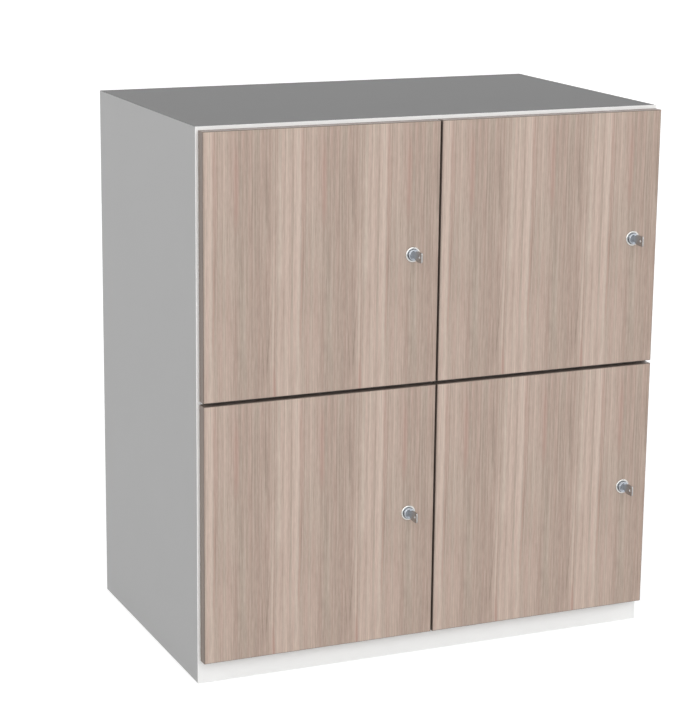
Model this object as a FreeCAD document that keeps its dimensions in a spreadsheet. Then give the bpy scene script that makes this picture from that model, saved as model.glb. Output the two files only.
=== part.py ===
"""Four-door locker: mitred board carcass, four hinged doors, each with a cam lock and its key.

Millimetres, +Z up. The origin is on the floor, midway across the width and midway between
the key tips and the rear edges. The doors are on the -Y side, and +X is to the right of
someone who faces them.
"""
import FreeCAD, Part
import os
import re

import Sketcher

doc = FreeCAD.newDocument("locker")

QUARTER_TURN = 90

# Driving sizes, in millimetres
SIZES = {
    # Carcass boards and facings
    "carcass_width": 800,
    "carcass_height": 890,
    "carcass_depth": 478,
    "board": 19,
    "edging": 2,
    "top_facing_height": 40,
    "base_facing_height": 52,
    "back_board": 8,
    "back_inset": 10,
    "groove_depth": 8,
    "rear_plinth_inset": 20,
    # Doors
    "door_board": 19,
    "door_edging": 1,
    "door_standoff": 3,
    "door_bottom": 40,
    "side_reveal": 3,
    "top_reveal": 5,
    "centre_gap": 3,
    "middle_gap": 5,
    # Dowels
    "dowel_diameter": 8,
    "dowel_length": 32,
    "dowel_face_depth": 8,
    "dowel_margin": 60,
    # Concealed hinges
    "hinge_margin": 80,
    "pin_inset": 8,
    "pin_depth": 6.8,
    "pin_diameter": 2.4,
    "pin_length": 20,
    "pin_end_play": 0.3,
    "knuckle_diameter": 5,
    "cup_diameter": 35,
    "cup_depth": 16,
    "cup_tab": 3,
    "cup_floor": 1,
    "cup_fit": 0.05,
    "cup_slot_width": 12,
    "cup_slot_lead": 3.8,
    "cup_slot_length": 26.5,
    "flange_diameter": 37,
    "flange_length": 60,
    "flange_width": 15,
    "flange_thickness": 1.2,
    "arm_width": 10,
    "arm_thickness": 2,
    "arm_reach": 19.5,
    "arm_straight": 4,
    "crank_run": 9,
    "arm_end": 58,
    "plate_setback": 37,
    "plate_wing_length": 48,
    "plate_wing_width": 14,
    "plate_wing_thickness": 2,
    "plate_spine_start": 24,
    "plate_spine_end": 60,
    "plate_screw_spacing": 32,
    "arm_screw_setback": 50,
    # Screws
    "screw_head_diameter": 7,
    "screw_head_height": 2,
    "screw_shank_diameter": 4,
    "screw_length": 14,
    "arm_screw_length": 9,
    "screw_fit": 0.05,
    # Cam locks
    "lock_backset": 45,
    "rosette_diameter": 25,
    "rosette_thickness": 1.8,
    "rosette_bevel": 0.8,
    "head_diameter": 18,
    "head_proud": 5,
    "head_seat": 4,
    "head_bevel": 0.6,
    "core_diameter": 14,
    "barrel_diameter": 22,
    "barrel_length": 27,
    "lock_fit": 0.05,
    "nut_width": 28,
    "nut_thickness": 4,
    "tail_square": 7,
    "tail_length": 4,
    "cam_play": 0.3,
    "cam_thickness": 2.5,
    "cam_width": 16,
    "cam_length": 24,
    # Keys
    "key_thickness": 2.2,
    "key_fit": 0.05,
    "key_tip_play": 0.5,
    "blade_height": 8,
    "blade_length": 22,
    "blade_taper": 1.6,
    "notch_start": 4,
    "notch_pitch": 4,
    "notch_width": 2.4,
    "notch_depth": 1.3,
    "bow_standoff": 0.3,
    "bow_length": 27,
    "bow_height": 17,
    "bow_neck": 9,
    "bow_shoulder": 9,
    "bow_round": 3,
    "bow_hole": 5,
    "bow_hole_margin": 7,
    # Strikes and bumpers
    "strike_overlap": 6,
    "strike_setback": 2.7,
    "strike_thickness": 2,
    "strike_width": 24,
    "strike_leg_width": 38,
    "strike_leg_length": 22,
    "strike_screw_setback": 16,
    "strike_screw_spacing": 24,
    "bumper_diameter": 6,
    "bumper_crown_diameter": 4.5,
    "bumper_crown_height": 0.8,
    "bumper_play": 0.3,
    "bumper_margin": 30,
    # Overrun of every cutting tool
    "overrun": 1,
}
NOTCH_COUNT = 4
# How far a straight edge may differ from its own length along an axis
STRAIGHT_SHARE = 0.001

# Sizes and places that follow from the driving ones
LAYOUT = {
    "left_x": "-carcass_width / 2",
    "right_x": "carcass_width / 2",
    "head_z": "rosette_thickness + head_proud",
    "bow_z": "head_z + bow_standoff",
    "front_reach": "door_standoff + door_board + bow_z + bow_length",
    "front_y": "(front_reach - carcass_depth) / 2",
    "rear_y": "front_y + carcass_depth",
    "board_front_y": "front_y + edging",
    "left_face_x": "left_x + board",
    "right_face_x": "right_x - board",
    "divider_left_x": "-board / 2",
    "divider_right_x": "board / 2",
    "back_y": "rear_y - back_inset - back_board",
    "floor_z": "base_facing_height - board",
    "ceiling_z": "carcass_height - board",
    "rail_z": "carcass_height - top_facing_height",
    "rail_dowel_z": "(rail_z + ceiling_z) / 2",
    "rear_plinth_y": "back_y - rear_plinth_inset - board",
    "clear_width": "carcass_width - 2 * board",
    "door_width": "(carcass_width - 2 * side_reveal - centre_gap) / 2",
    "door_height": "(carcass_height - top_reveal - middle_gap - door_bottom) / 2",
    "left_door_x": "left_x + side_reveal",
    "right_door_x": "centre_gap / 2",
    "lower_door_z": "door_bottom",
    "upper_door_z": "door_bottom + door_height + middle_gap",
    "door_back_y": "front_y - door_standoff",
    "door_front_y": "front_y - door_standoff - door_board",
    "shelf_z": "upper_door_z - middle_gap / 2 - board / 2",
    "pin_y": "door_front_y + pin_depth",
    "left_pin_x": "left_door_x + pin_inset",
    "right_pin_x": "right_door_x + pin_inset",
    "left_lock_x": "left_door_x + door_width - lock_backset",
    "right_lock_x": "right_door_x + door_width - lock_backset",
    "lower_lock_z": "lower_door_z + door_height / 2",
    "upper_lock_z": "upper_door_z + door_height / 2",
    "plate_height": "left_pin_x + arm_reach - arm_thickness / 2 - left_face_x",
    "left_crank": "left_pin_x + arm_reach - arm_thickness / 2 - left_face_x - plate_height",
    "right_crank": "right_pin_x + arm_reach - arm_thickness / 2 - divider_right_x - plate_height",
    "pin_to_front": "front_y - pin_y",
    "cup_x": "cup_tab + cup_diameter / 2 - pin_inset",
    "cup_mouth_y": "door_board - pin_depth",
    "cam_z": "-barrel_length - cam_play - cam_thickness",
    "left_strike_reach": "divider_left_x - left_lock_x - cam_length + strike_overlap",
    "right_strike_reach": "right_face_x - right_lock_x - cam_length + strike_overlap",
    "bumper_height": "door_standoff - bumper_play",
}


def sheet(name, rows):
    """Add a spreadsheet with one aliased value to a row."""
    table = doc.addObject("Spreadsheet::Sheet", name)
    for row, (alias, content) in enumerate(rows.items(), start=1):
        table.set(f"A{row}", alias)
        table.set(f"B{row}", str(content))
        table.setAlias(f"B{row}", alias)
    doc.recompute()
    return table


def bound(expression):
    """Point each size named in an expression at its sheet."""
    def cell(match):
        word = match.group(0)
        if word in SIZES:
            return f"Sizes.{word}"
        return f"Layout.{word}" if word in LAYOUT else word
    return re.sub(r"[a-z_]\w*", cell, expression)


sizes = sheet("Sizes", SIZES)
sheet("Layout", {name: f"={bound(text)}" for name, text in LAYOUT.items()})

TURNS = {
    "x": FreeCAD.Rotation(FreeCAD.Vector(0, 1, 0), QUARTER_TURN),
    "y": FreeCAD.Rotation(FreeCAD.Vector(1, 0, 0), -QUARTER_TURN),
    "z": FreeCAD.Rotation(),
    "-x": FreeCAD.Rotation(FreeCAD.Vector(0, 1, 0), -QUARTER_TURN),
    "-y": FreeCAD.Rotation(FreeCAD.Vector(1, 0, 0), QUARTER_TURN),
    "-z": FreeCAD.Rotation(FreeCAD.Vector(1, 0, 0), 2 * QUARTER_TURN),
}
nodes = {}


def amount(expression):
    """Work out an expression of named sizes as a plain number."""
    result = sizes.evalExpression(bound(expression))
    return float(getattr(result, "Value", result))


def place(item, x="0", y="0", z="0", along="z"):
    """Put an object at a named place, its own Z axis turned along a row axis."""
    item.Placement = FreeCAD.Placement(FreeCAD.Vector(), TURNS[along])
    for axis, expression in zip("xyz", (x, y, z)):
        item.setExpression(f"Placement.Base.{axis}", bound(expression))
    return item


def box(x, y, z):
    """A block from (start, length) pairs along X, Y and Z."""
    item = doc.addObject("Part::Box", "block")
    for prop, span in zip(("Length", "Width", "Height"), (x, y, z)):
        item.setExpression(prop, bound(span[1]))
    return place(item, x[0], y[0], z[0])


def rod(diameter, length, x="0", y="0", z="0", along="z"):
    """A round bar that starts at a place and runs along an axis."""
    item = doc.addObject("Part::Cylinder", "rod")
    item.setExpression("Radius", bound(f"({diameter}) / 2"))
    item.setExpression("Height", bound(length))
    return place(item, x, y, z, along)


def taper(base_diameter, tip_diameter, length, x="0", y="0", z="0", along="z"):
    """A cone frustum that starts at a place and runs along an axis."""
    item = doc.addObject("Part::Cone", "taper")
    item.setExpression("Radius1", bound(f"({base_diameter}) / 2"))
    item.setExpression("Radius2", bound(f"({tip_diameter}) / 2"))
    item.setExpression("Height", bound(length))
    return place(item, x, y, z, along)


def joined(*parts):
    """One solid made of parts that meet."""
    item = doc.addObject("Part::MultiFuse", "joined")
    item.Shapes = list(parts)
    item.Refine = True
    return item


def cut(base, *tools):
    """A solid less its holes and slots."""
    item = doc.addObject("Part::Cut", "cut")
    item.Base = base
    item.Tool = tools[0] if len(tools) == 1 else joined(*tools)
    return item


def group(*parts):
    """Separate solids that share one node."""
    item = doc.addObject("Part::Compound", "group")
    item.Links = list(parts)
    return item


def copy(master, x, y, z, along="z"):
    """Another of the same piece, at its own place."""
    item = doc.addObject("App::Link", "copy")
    item.LinkedObject = master
    return place(item, x, y, z, along)


def node(name, item):
    """Give a finished piece its name."""
    item.Label = name
    nodes[name] = item
    return item


def sketch_on(body, role):
    """A sketch on one of a body's own origin planes."""
    plane = next(part for part in body.Origin.OriginFeatures if part.Role == role)
    sketch = body.newObject("Sketcher::SketchObject", "sketch")
    sketch.AttachmentSupport = [(plane, "")]
    sketch.MapMode = "FlatFace"
    return sketch


def draw_outline(sketch, corners):
    """Draw a closed outline through corners that are pairs of expressions."""
    points = [FreeCAD.Vector(amount(x), amount(y), 0) for x, y in corners]
    count = len(points)
    for index, point in enumerate(points):
        sketch.addGeometry(Part.LineSegment(point, points[(index + 1) % count]))
    for index in range(count):
        sketch.addConstraint(Sketcher.Constraint("Coincident", index, 2, (index + 1) % count, 1))
    for index, corner in enumerate(corners):
        for kind, text, value in zip(("DistanceX", "DistanceY"), corner, points[index]):
            number = sketch.addConstraint(Sketcher.Constraint(kind, -1, 1, index, 1, value))
            sketch.setExpression(f"Constraints[{number}]", bound(text))


def draw_circle(sketch, x, y, diameter):
    """Draw a circle whose centre and diameter are expressions."""
    centre = FreeCAD.Vector(amount(x), amount(y), 0)
    index = sketch.addGeometry(Part.Circle(centre, FreeCAD.Vector(0, 0, 1), amount(diameter) / 2))
    for kind, text, value in zip(("DistanceX", "DistanceY"), (x, y), centre):
        number = sketch.addConstraint(Sketcher.Constraint(kind, -1, 1, index, 3, value))
        sketch.setExpression(f"Constraints[{number}]", bound(text))
    number = sketch.addConstraint(Sketcher.Constraint("Diameter", index, amount(diameter)))
    sketch.setExpression(f"Constraints[{number}]", bound(diameter))


def pad(body, sketch, length, midplane=True):
    """Raise a sketch into a solid."""
    feature = body.newObject("PartDesign::Pad", "pad")
    feature.Profile = sketch
    feature.Midplane = midplane
    feature.setExpression("Length", bound(length))
    doc.recompute()
    return feature


def pierce(body, sketch):
    """Cut a sketch through a body both ways, and see that it did cut."""
    before = body.Shape.Volume
    feature = body.newObject("PartDesign::Pocket", "pierce")
    feature.Profile = sketch
    feature.Type = "ThroughAll"
    feature.Midplane = True
    doc.recompute()
    if not body.Shape.Volume < before:
        raise RuntimeError("the pocket cut nothing")
    return feature


# Screws and dowels
def screw(length):
    """A raised-head screw, its head below the plane of Z zero and its shank above."""
    return joined(
        taper("screw_head_diameter - screw_head_height", "screw_head_diameter", "screw_head_height",
              z="-screw_head_height"),
        rod("screw_shank_diameter", length))


def screw_hole(x, y, z, along):
    """The clearance hole for a screw's shank."""
    return rod("screw_shank_diameter + 2 * screw_fit", "screw_length + overrun", x, y, z, along)


def dowel(x, y, z, along):
    """A beech dowel."""
    return rod("dowel_diameter", "dowel_length", x, y, z, along)


# Where the boards are dowelled: (start x, start y, start z, direction)
DOWEL_ROWS = ["front_y + dowel_margin", "(front_y + back_y) / 2", "back_y - dowel_margin"]
BOARD_ENDS_X = [
    ("left_face_x - dowel_face_depth", "floor_z + board / 2", "x"),
    ("right_face_x + dowel_face_depth", "floor_z + board / 2", "-x"),
    ("left_face_x - dowel_face_depth", "shelf_z + board / 2", "x"),
    ("right_face_x + dowel_face_depth", "shelf_z + board / 2", "-x"),
    ("divider_left_x + dowel_face_depth", "shelf_z + board / 2", "-x"),
    ("divider_right_x - dowel_face_depth", "shelf_z + board / 2", "x"),
]
BOARD_ENDS_Z = [("base_facing_height - dowel_face_depth", "z"), ("ceiling_z + dowel_face_depth", "-z")]
RAIL_ENDS = [
    ("left_face_x - dowel_face_depth", "board_front_y + board / 2", "rail_dowel_z", "x"),
    ("right_face_x + dowel_face_depth", "board_front_y + board / 2", "rail_dowel_z", "-x"),
    ("left_face_x - dowel_face_depth", "board_front_y + board / 2", "floor_z / 2", "x"),
    ("right_face_x + dowel_face_depth", "board_front_y + board / 2", "floor_z / 2", "-x"),
    ("left_face_x - dowel_face_depth", "rear_plinth_y + board / 2", "floor_z / 2", "x"),
    ("right_face_x + dowel_face_depth", "rear_plinth_y + board / 2", "floor_z / 2", "-x"),
]
DOWELS = (
    [(x, y, z, along) for x, z, along in BOARD_ENDS_X for y in DOWEL_ROWS]
    + [("0", y, z, along) for z, along in BOARD_ENDS_Z for y in DOWEL_ROWS]
    + RAIL_ENDS
)


def dowel_holes(near_x=None, near_z=None):
    """The dowels that enter a board, chosen by the plane of the joint."""
    return [dowel(*entry) for entry in DOWELS
            if (near_x and near_x in entry[0]) or (near_z and near_z in entry[2])]


# Hinges and strikes by column of doors, and doors by row
COLUMNS = {
    "left": {"hinge_face": "left_face_x", "strike_face": "divider_left_x"},
    "right": {"hinge_face": "divider_right_x", "strike_face": "right_face_x"},
}
ROWS = ("upper", "lower")


def hinge_heights(row):
    """The heights of a door's two hinges."""
    return [f"{row}_door_z + hinge_margin", f"{row}_door_z + door_height - hinge_margin"]


def plate_screw_places(column, row):
    """Where the plate screws of one column and row enter their board."""
    face = COLUMNS[column]["hinge_face"]
    return [(face, "front_y + plate_setback", f"{height} {end} plate_screw_spacing / 2")
            for height in hinge_heights(row) for end in "+-"]


def strike_screw_places(column, row):
    """Where the strike screws of one column and row enter their board."""
    return [(COLUMNS[column]["strike_face"], "front_y + strike_screw_setback",
             f"{row}_lock_z {end} strike_screw_spacing / 2") for end in "+-"]


def board_screw_holes(column=None, struck=None):
    """The screw holes in a board that carries hinges, strikes or both."""
    holes = []
    for row in ROWS:
        if column:
            holes += [screw_hole(x, y, z, "-x") for x, y, z in plate_screw_places(column, row)]
        if struck:
            holes += [screw_hole(x, y, z, "x") for x, y, z in strike_screw_places(struck, row)]
    return holes


# Mitred sides and top
def mitred_board(corners):
    """A board with mitred ends: an outline on the front plane, run back to the rear."""
    body = doc.addObject("PartDesign::Body", "board")
    sketch = sketch_on(body, "XZ_Plane")
    draw_outline(sketch, corners)
    pad(body, sketch, "carcass_depth - edging")
    return place(body, y="front_y / 2 + edging / 2 + rear_y / 2")


def back_groove():
    """The groove that holds the back panel, cut round sides, top and floor."""
    return box(("left_face_x - groove_depth", "clear_width + 2 * groove_depth"), ("back_y", "back_board"),
               ("base_facing_height - groove_depth",
                "ceiling_z - base_facing_height + 2 * groove_depth"))


node("side_left", cut(
    mitred_board([("left_x", "0"), ("left_face_x", "0"), ("left_face_x", "ceiling_z"),
                  ("left_x", "carcass_height")]),
    back_groove(), *dowel_holes(near_x="left_face_x"), *board_screw_holes(column="left")))
node("side_right", cut(
    mitred_board([("right_face_x", "0"), ("right_x", "0"), ("right_x", "carcass_height"),
                  ("right_face_x", "ceiling_z")]),
    back_groove(), *dowel_holes(near_x="right_face_x"), *board_screw_holes(struck="right")))
node("top_panel", cut(
    mitred_board([("left_face_x", "ceiling_z"), ("right_face_x", "ceiling_z"),
                  ("right_x", "carcass_height"), ("left_x", "carcass_height")]),
    back_groove(), *dowel_holes(near_z="ceiling_z + dowel_face_depth")))

# Floor, divider, shelves and back
inner_run = ("board_front_y", "back_y - board_front_y")
node("bottom_panel", cut(
    box(("left_face_x", "clear_width"), ("board_front_y", "carcass_depth - edging"), ("floor_z", "board")),
    back_groove(),
    *dowel_holes(near_z="base_facing_height - dowel_face_depth"), *dowel_holes(near_z="floor_z + board / 2")))
rail_span = (("left_face_x", "clear_width"), ("board_front_y", "board"), ("rail_z", "ceiling_z - rail_z"))
node("centre_partition", cut(
    box(("divider_left_x", "board"), inner_run, ("base_facing_height", "ceiling_z - base_facing_height")),
    box(*rail_span), *dowel_holes(near_x="divider_"), *dowel_holes(near_z="dowel_face_depth"),
    *board_screw_holes(column="right", struck="left")))
node("shelf_left", cut(
    box(("left_face_x", "divider_left_x - left_face_x"), inner_run, ("shelf_z", "board")),
    *dowel_holes(near_z="shelf_z")))
node("shelf_right", cut(
    box(("divider_right_x", "right_face_x - divider_right_x"), inner_run, ("shelf_z", "board")),
    *dowel_holes(near_z="shelf_z")))
node("back_panel", back_groove())

# Rails, plinth and front facings
node("front_rail", cut(box(*rail_span), *dowel_holes(near_z="rail_dowel_z")))
node("plinth_front", cut(
    box(("left_face_x", "clear_width"), ("board_front_y", "board"), ("0", "floor_z")),
    *dowel_holes(near_z="floor_z / 2")))
node("plinth_rear", cut(
    box(("left_face_x", "clear_width"), ("rear_plinth_y", "board"), ("0", "floor_z")),
    *dowel_holes(near_z="floor_z / 2")))
node("top_facing", box(("left_x", "carcass_width"), ("front_y", "edging"), ("rail_z", "top_facing_height")))
node("base_facing", box(("left_x", "carcass_width"), ("front_y", "edging"), ("0", "base_facing_height")))
upright = ("base_facing_height", "rail_z - base_facing_height")
node("front_edgings", group(
    box(("left_x", "board"), ("front_y", "edging"), upright),
    box(("right_face_x", "board"), ("front_y", "edging"), upright),
    box(("divider_left_x", "board"), ("front_y", "edging"), upright),
    box(("left_face_x", "divider_left_x - left_face_x"), ("front_y", "edging"), ("shelf_z", "board")),
    box(("divider_right_x", "right_face_x - divider_right_x"), ("front_y", "edging"), ("shelf_z", "board"))))
node("dowels", group(*(dowel(*entry) for entry in DOWELS)))


# Concealed hinges, drawn about the pin at the middle of the hinge
def hinge_cup():
    """Cup with its flange, slot for the arm and cheeks that run on the pin."""
    cup_y = "cup_mouth_y - cup_depth"
    shell = joined(
        rod("cup_diameter", "cup_depth", "cup_x", cup_y, "0", "y"),
        rod("flange_diameter", "flange_thickness", "cup_x", "cup_mouth_y", "0", "y"),
        box(("cup_x - flange_width / 2", "flange_width"), ("cup_mouth_y", "flange_thickness"),
            ("-flange_length / 2", "flange_length")))
    slot = box(("-cup_slot_lead", "cup_slot_length"), (f"{cup_y} + cup_floor", "cup_depth + 2 * overrun"),
               ("-cup_slot_width / 2", "cup_slot_width"))
    bearing = rod("pin_diameter + 2 * cup_fit", "pin_length + 2 * pin_end_play",
                  z="-pin_length / 2 - pin_end_play")
    return cut(shell, slot, bearing)


def hinge_arm(crank):
    """Bent strip from the pin out of the cup and back over the mounting plate."""
    body = doc.addObject("PartDesign::Body", "arm")
    sketch = sketch_on(body, "XY_Plane")
    outer = "arm_reach + arm_thickness / 2"
    inner = "arm_reach - arm_thickness / 2"
    start = "pin_to_front + arm_straight"
    corners = [("0", "-arm_thickness / 2"), (outer, "-arm_thickness / 2"), (outer, start),
               (f"{outer} - {crank}", f"{start} + crank_run"),
               (f"{outer} - {crank}", "pin_to_front + arm_end"),
               (f"{inner} - {crank}", "pin_to_front + arm_end"),
               (f"{inner} - {crank}", f"{start} + crank_run"), (inner, start),
               (inner, "arm_thickness / 2"), ("0", "arm_thickness / 2")]
    draw_outline(sketch, corners)
    pad(body, sketch, "arm_width")
    knuckle = sketch_on(body, "XY_Plane")
    draw_circle(knuckle, "0", "0", "knuckle_diameter")
    pad(body, knuckle, "arm_width")
    eye = sketch_on(body, "XY_Plane")
    draw_circle(eye, "0", "0", "pin_diameter")
    pierce(body, eye)
    hole = sketch_on(body, "YZ_Plane")
    draw_circle(hole, "pin_to_front + arm_screw_setback", "0", "screw_shank_diameter + 2 * screw_fit")
    pierce(body, hole)
    return body


def mounting_plate():
    """Winged plate, drawn about the board face at the carcass front."""
    wing = box(("0", "plate_wing_thickness"), ("plate_setback - plate_wing_width / 2", "plate_wing_width"),
               ("-plate_wing_length / 2", "plate_wing_length"))
    spine = box(("0", "plate_height"), ("plate_spine_start", "plate_spine_end - plate_spine_start"),
                ("-arm_width / 2", "arm_width"))
    holes = [screw_hole("-overrun", "plate_setback", f"{end} plate_screw_spacing / 2", "x") for end in "+-"]
    arm_hole = rod("screw_shank_diameter + 2 * screw_fit", "arm_screw_length",
                   "plate_height", "arm_screw_setback", "0", "-x")
    return cut(joined(wing, spine), *holes, arm_hole)


cup_master = hinge_cup()
arm_masters = {column: hinge_arm(f"{column}_crank") for column in COLUMNS}
plate_master = mounting_plate()
pin_master = rod("pin_diameter", "pin_length")
hinge_places = [(column, row, height) for column in COLUMNS for row in ROWS for height in hinge_heights(row)]
node("hinge_arms", group(*(
    copy(arm_masters[column], f"{column}_pin_x", "pin_y", height) for column, row, height in hinge_places)))
node("hinge_pins", group(*(
    copy(pin_master, f"{column}_pin_x", "pin_y", f"{height} - pin_length / 2")
    for column, row, height in hinge_places)))
node("mounting_plates", group(*(
    copy(plate_master, COLUMNS[column]["hinge_face"], "front_y", height)
    for column, row, height in hinge_places)))
screw_master = screw("screw_length")
arm_screw_master = screw("arm_screw_length")
node("plate_screws", group(*(
    copy(screw_master, f"{x} + plate_wing_thickness", y, z, "-x")
    for column in COLUMNS for row in ROWS for x, y, z in plate_screw_places(column, row))))
node("arm_screws", group(*(
    copy(arm_screw_master, f"{COLUMNS[column]['hinge_face']} + plate_height + arm_thickness",
         "front_y + arm_screw_setback", height, "-x") for column, row, height in hinge_places)))


# Strikes that the cams turn behind, and bumpers that the doors close on
def strike_plate(column, row):
    """Angle with one leg on the board and a flange behind the door."""
    face = COLUMNS[column]["strike_face"]
    reach = f"{column}_strike_reach"
    leg = box((f"{face} - strike_thickness", "strike_thickness"),
              ("front_y + strike_setback", "strike_leg_length"),
              (f"{row}_lock_z - strike_leg_width / 2", "strike_leg_width"))
    flange = box((f"{face} - {reach}", reach), ("front_y + strike_setback", "strike_thickness"),
                 (f"{row}_lock_z - strike_width / 2", "strike_width"))
    holes = [screw_hole(f"{x} - strike_thickness - overrun", y, z, "x")
             for x, y, z in strike_screw_places(column, row)]
    return cut(joined(leg, flange), *holes)


strike_places = [(column, row) for column in COLUMNS for row in ROWS]
node("strike_plates", group(*(strike_plate(column, row) for column, row in strike_places)))
node("strike_screws", group(*(
    copy(screw_master, f"{x} - strike_thickness", y, z, "x")
    for column, row in strike_places for x, y, z in strike_screw_places(column, row))))

bumper_master = joined(
    rod("bumper_diameter", "bumper_height - bumper_crown_height", along="-y"),
    taper("bumper_diameter", "bumper_crown_diameter", "bumper_crown_height",
          y="bumper_crown_height - bumper_height", along="-y"))
BUMPER_X = {
    "left": "(divider_left_x + left_door_x + door_width) / 2",
    "right": "(right_face_x + right_door_x + door_width) / 2",
}
node("bumpers", group(*(
    copy(bumper_master, BUMPER_X[column], "front_y", height)
    for column, row in strike_places
    for height in (f"{row}_door_z + bumper_margin", f"{row}_door_z + door_height - bumper_margin"))))


# Doors, drawn about the door's lower left corner at its back face
def door_panel(column, row):
    """Board inside its edging, bored for the lock and the two cups."""
    panel = box(("door_edging", "door_width - 2 * door_edging"), ("-door_board", "door_board"),
                ("door_edging", "door_height - 2 * door_edging"))
    lock_hole = rod("barrel_diameter + 2 * lock_fit", "door_board + 2 * overrun",
                    "door_width - lock_backset", "-door_board - overrun", "door_height / 2", "y")
    cup_holes = [rod("cup_diameter + 2 * cup_fit", "cup_depth + overrun", "cup_x + pin_inset", "-cup_depth",
                     height, "y") for height in ("hinge_margin", "door_height - hinge_margin")]
    return place(cut(panel, lock_hole, *cup_holes), f"{column}_door_x", "door_back_y", f"{row}_door_z")


def door_edgings(column, row):
    """Four strips round the door's edges."""
    run = ("-door_board", "door_board")
    between = ("door_edging", "door_width - 2 * door_edging")
    strips = [
        box(("0", "door_edging"), run, ("0", "door_height")),
        box(("door_width - door_edging", "door_edging"), run, ("0", "door_height")),
        box(between, run, ("0", "door_edging")),
        box(between, run, ("door_height - door_edging", "door_edging")),
    ]
    return place(group(*strips), f"{column}_door_x", "door_back_y", f"{row}_door_z")


# Cam locks, drawn about the lock axis at the door's front face, +Z outwards and +Y up
def rosette():
    """Thin ring with a bevelled rim."""
    ring = joined(
        rod("rosette_diameter", "rosette_thickness - rosette_bevel"),
        taper("rosette_diameter", "rosette_diameter - 2 * rosette_bevel", "rosette_bevel",
              z="rosette_thickness - rosette_bevel"))
    return cut(ring, rod("head_diameter + 2 * lock_fit", "rosette_thickness + 2 * overrun", z="-overrun"))


def lock_housing():
    """Barrel through the door, counterbored for the cylinder's head."""
    barrel = rod("barrel_diameter", "barrel_length", z="-barrel_length")
    bore = rod("core_diameter + 2 * lock_fit", "barrel_length + 2 * overrun", z="-barrel_length - overrun")
    counterbore = rod("head_diameter + 2 * lock_fit", "head_seat + overrun", z="-head_seat")
    return cut(barrel, bore, counterbore)


def lock_nut():
    """Hexagon nut that clamps the housing against the door's back face."""
    prism = doc.addObject("Part::Prism", "hexagon")
    prism.Polygon = 6
    prism.setExpression("Circumradius", bound("nut_width / sqrt(3)"))
    prism.setExpression("Height", bound("nut_thickness"))
    place(prism, z="-door_board - nut_thickness")
    return cut(prism, rod("barrel_diameter", "nut_thickness + 2 * overrun",
                          z="-door_board - nut_thickness - overrun"))


def lock_cylinder():
    """Head, core and square tail in one, slotted for the key."""
    core = joined(
        rod("head_diameter", "head_z + head_seat - lock_fit - head_bevel", z="lock_fit - head_seat"),
        taper("head_diameter", "head_diameter - 2 * head_bevel", "head_bevel", z="head_z - head_bevel"),
        rod("core_diameter", "barrel_length - head_seat + lock_fit", z="-barrel_length"),
        box(("-tail_square / 2", "tail_square"), ("-tail_square / 2", "tail_square"),
            ("-barrel_length - tail_length", "tail_length")))
    slot = box(("-key_thickness / 2 - key_fit", "key_thickness + 2 * key_fit"),
               ("-blade_height / 2 - key_fit", "blade_height + 2 * key_fit"),
               ("head_z - blade_length - key_tip_play", "blade_length + key_tip_play + overrun"))
    return cut(core, slot)


def lock_cam():
    """Round-ended finger on the tail, hanging down when the door is unlocked."""
    drop = "cam_length - cam_width / 2"
    finger = joined(
        rod("cam_width", "cam_thickness", z="cam_z"),
        rod("cam_width", "cam_thickness", y=f"-({drop})", z="cam_z"),
        box(("-cam_width / 2", "cam_width"), (f"-({drop})", drop), ("cam_z", "cam_thickness")))
    return cut(finger, box(("-tail_square / 2", "tail_square"), ("-tail_square / 2", "tail_square"),
                           ("cam_z - overrun", "cam_thickness + 2 * overrun")))


def round_corners(body, feature, radius, wanted):
    """Round the edges across a flat body that lie near wanted (y, z) corners."""
    names = []
    for number, edge in enumerate(feature.Shape.Edges, start=1):
        middle = edge.CenterOfMass
        across = abs(edge.BoundBox.XLength - edge.Length) < edge.Length * STRAIGHT_SHARE
        if across and any(abs(middle.y - y) + abs(middle.z - z) < amount(radius) / 2 for y, z in wanted):
            names.append(f"Edge{number}")
    fillet = body.newObject("PartDesign::Fillet", "round")
    fillet.Base = (feature, names)
    fillet.setExpression("Radius", bound(radius))
    doc.recompute()
    return fillet


def key():
    """Flat key: notched blade, shouldered bow with rounded corners and a hole."""
    body = doc.addObject("PartDesign::Body", "key")
    sketch = sketch_on(body, "YZ_Plane")
    tip = "head_z - blade_length"
    corners = [
        ("blade_taper - blade_height / 2", tip), ("blade_height / 2 - blade_taper", tip),
        ("blade_height / 2", f"{tip} + blade_taper"), ("blade_height / 2", "bow_z"),
        ("bow_neck / 2", "bow_z"), ("bow_height / 2", "bow_z + bow_shoulder"),
        ("bow_height / 2", "bow_z + bow_length"), ("-bow_height / 2", "bow_z + bow_length"),
        ("-bow_height / 2", "bow_z + bow_shoulder"), ("-bow_neck / 2", "bow_z"),
        ("-blade_height / 2", "bow_z")]
    for notch in range(NOTCH_COUNT):
        top = f"head_z - notch_start - {notch} * notch_pitch"
        corners += [("-blade_height / 2", top),
                    ("notch_depth - blade_height / 2", f"{top} - notch_width / 2"),
                    ("-blade_height / 2", f"{top} - notch_width")]
    corners.append(("-blade_height / 2", f"{tip} + blade_taper"))
    draw_outline(sketch, corners)
    blank = pad(body, sketch, "key_thickness")
    half = amount("bow_height / 2")
    levels = (amount("bow_z + bow_shoulder"), amount("bow_z + bow_length"))
    round_corners(body, blank, "bow_round", [(side * half, z) for side in (1, -1) for z in levels])
    hole = sketch_on(body, "YZ_Plane")
    draw_circle(hole, "0", "bow_z + bow_length - bow_hole_margin", "bow_hole")
    pierce(body, hole)
    return body


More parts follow.
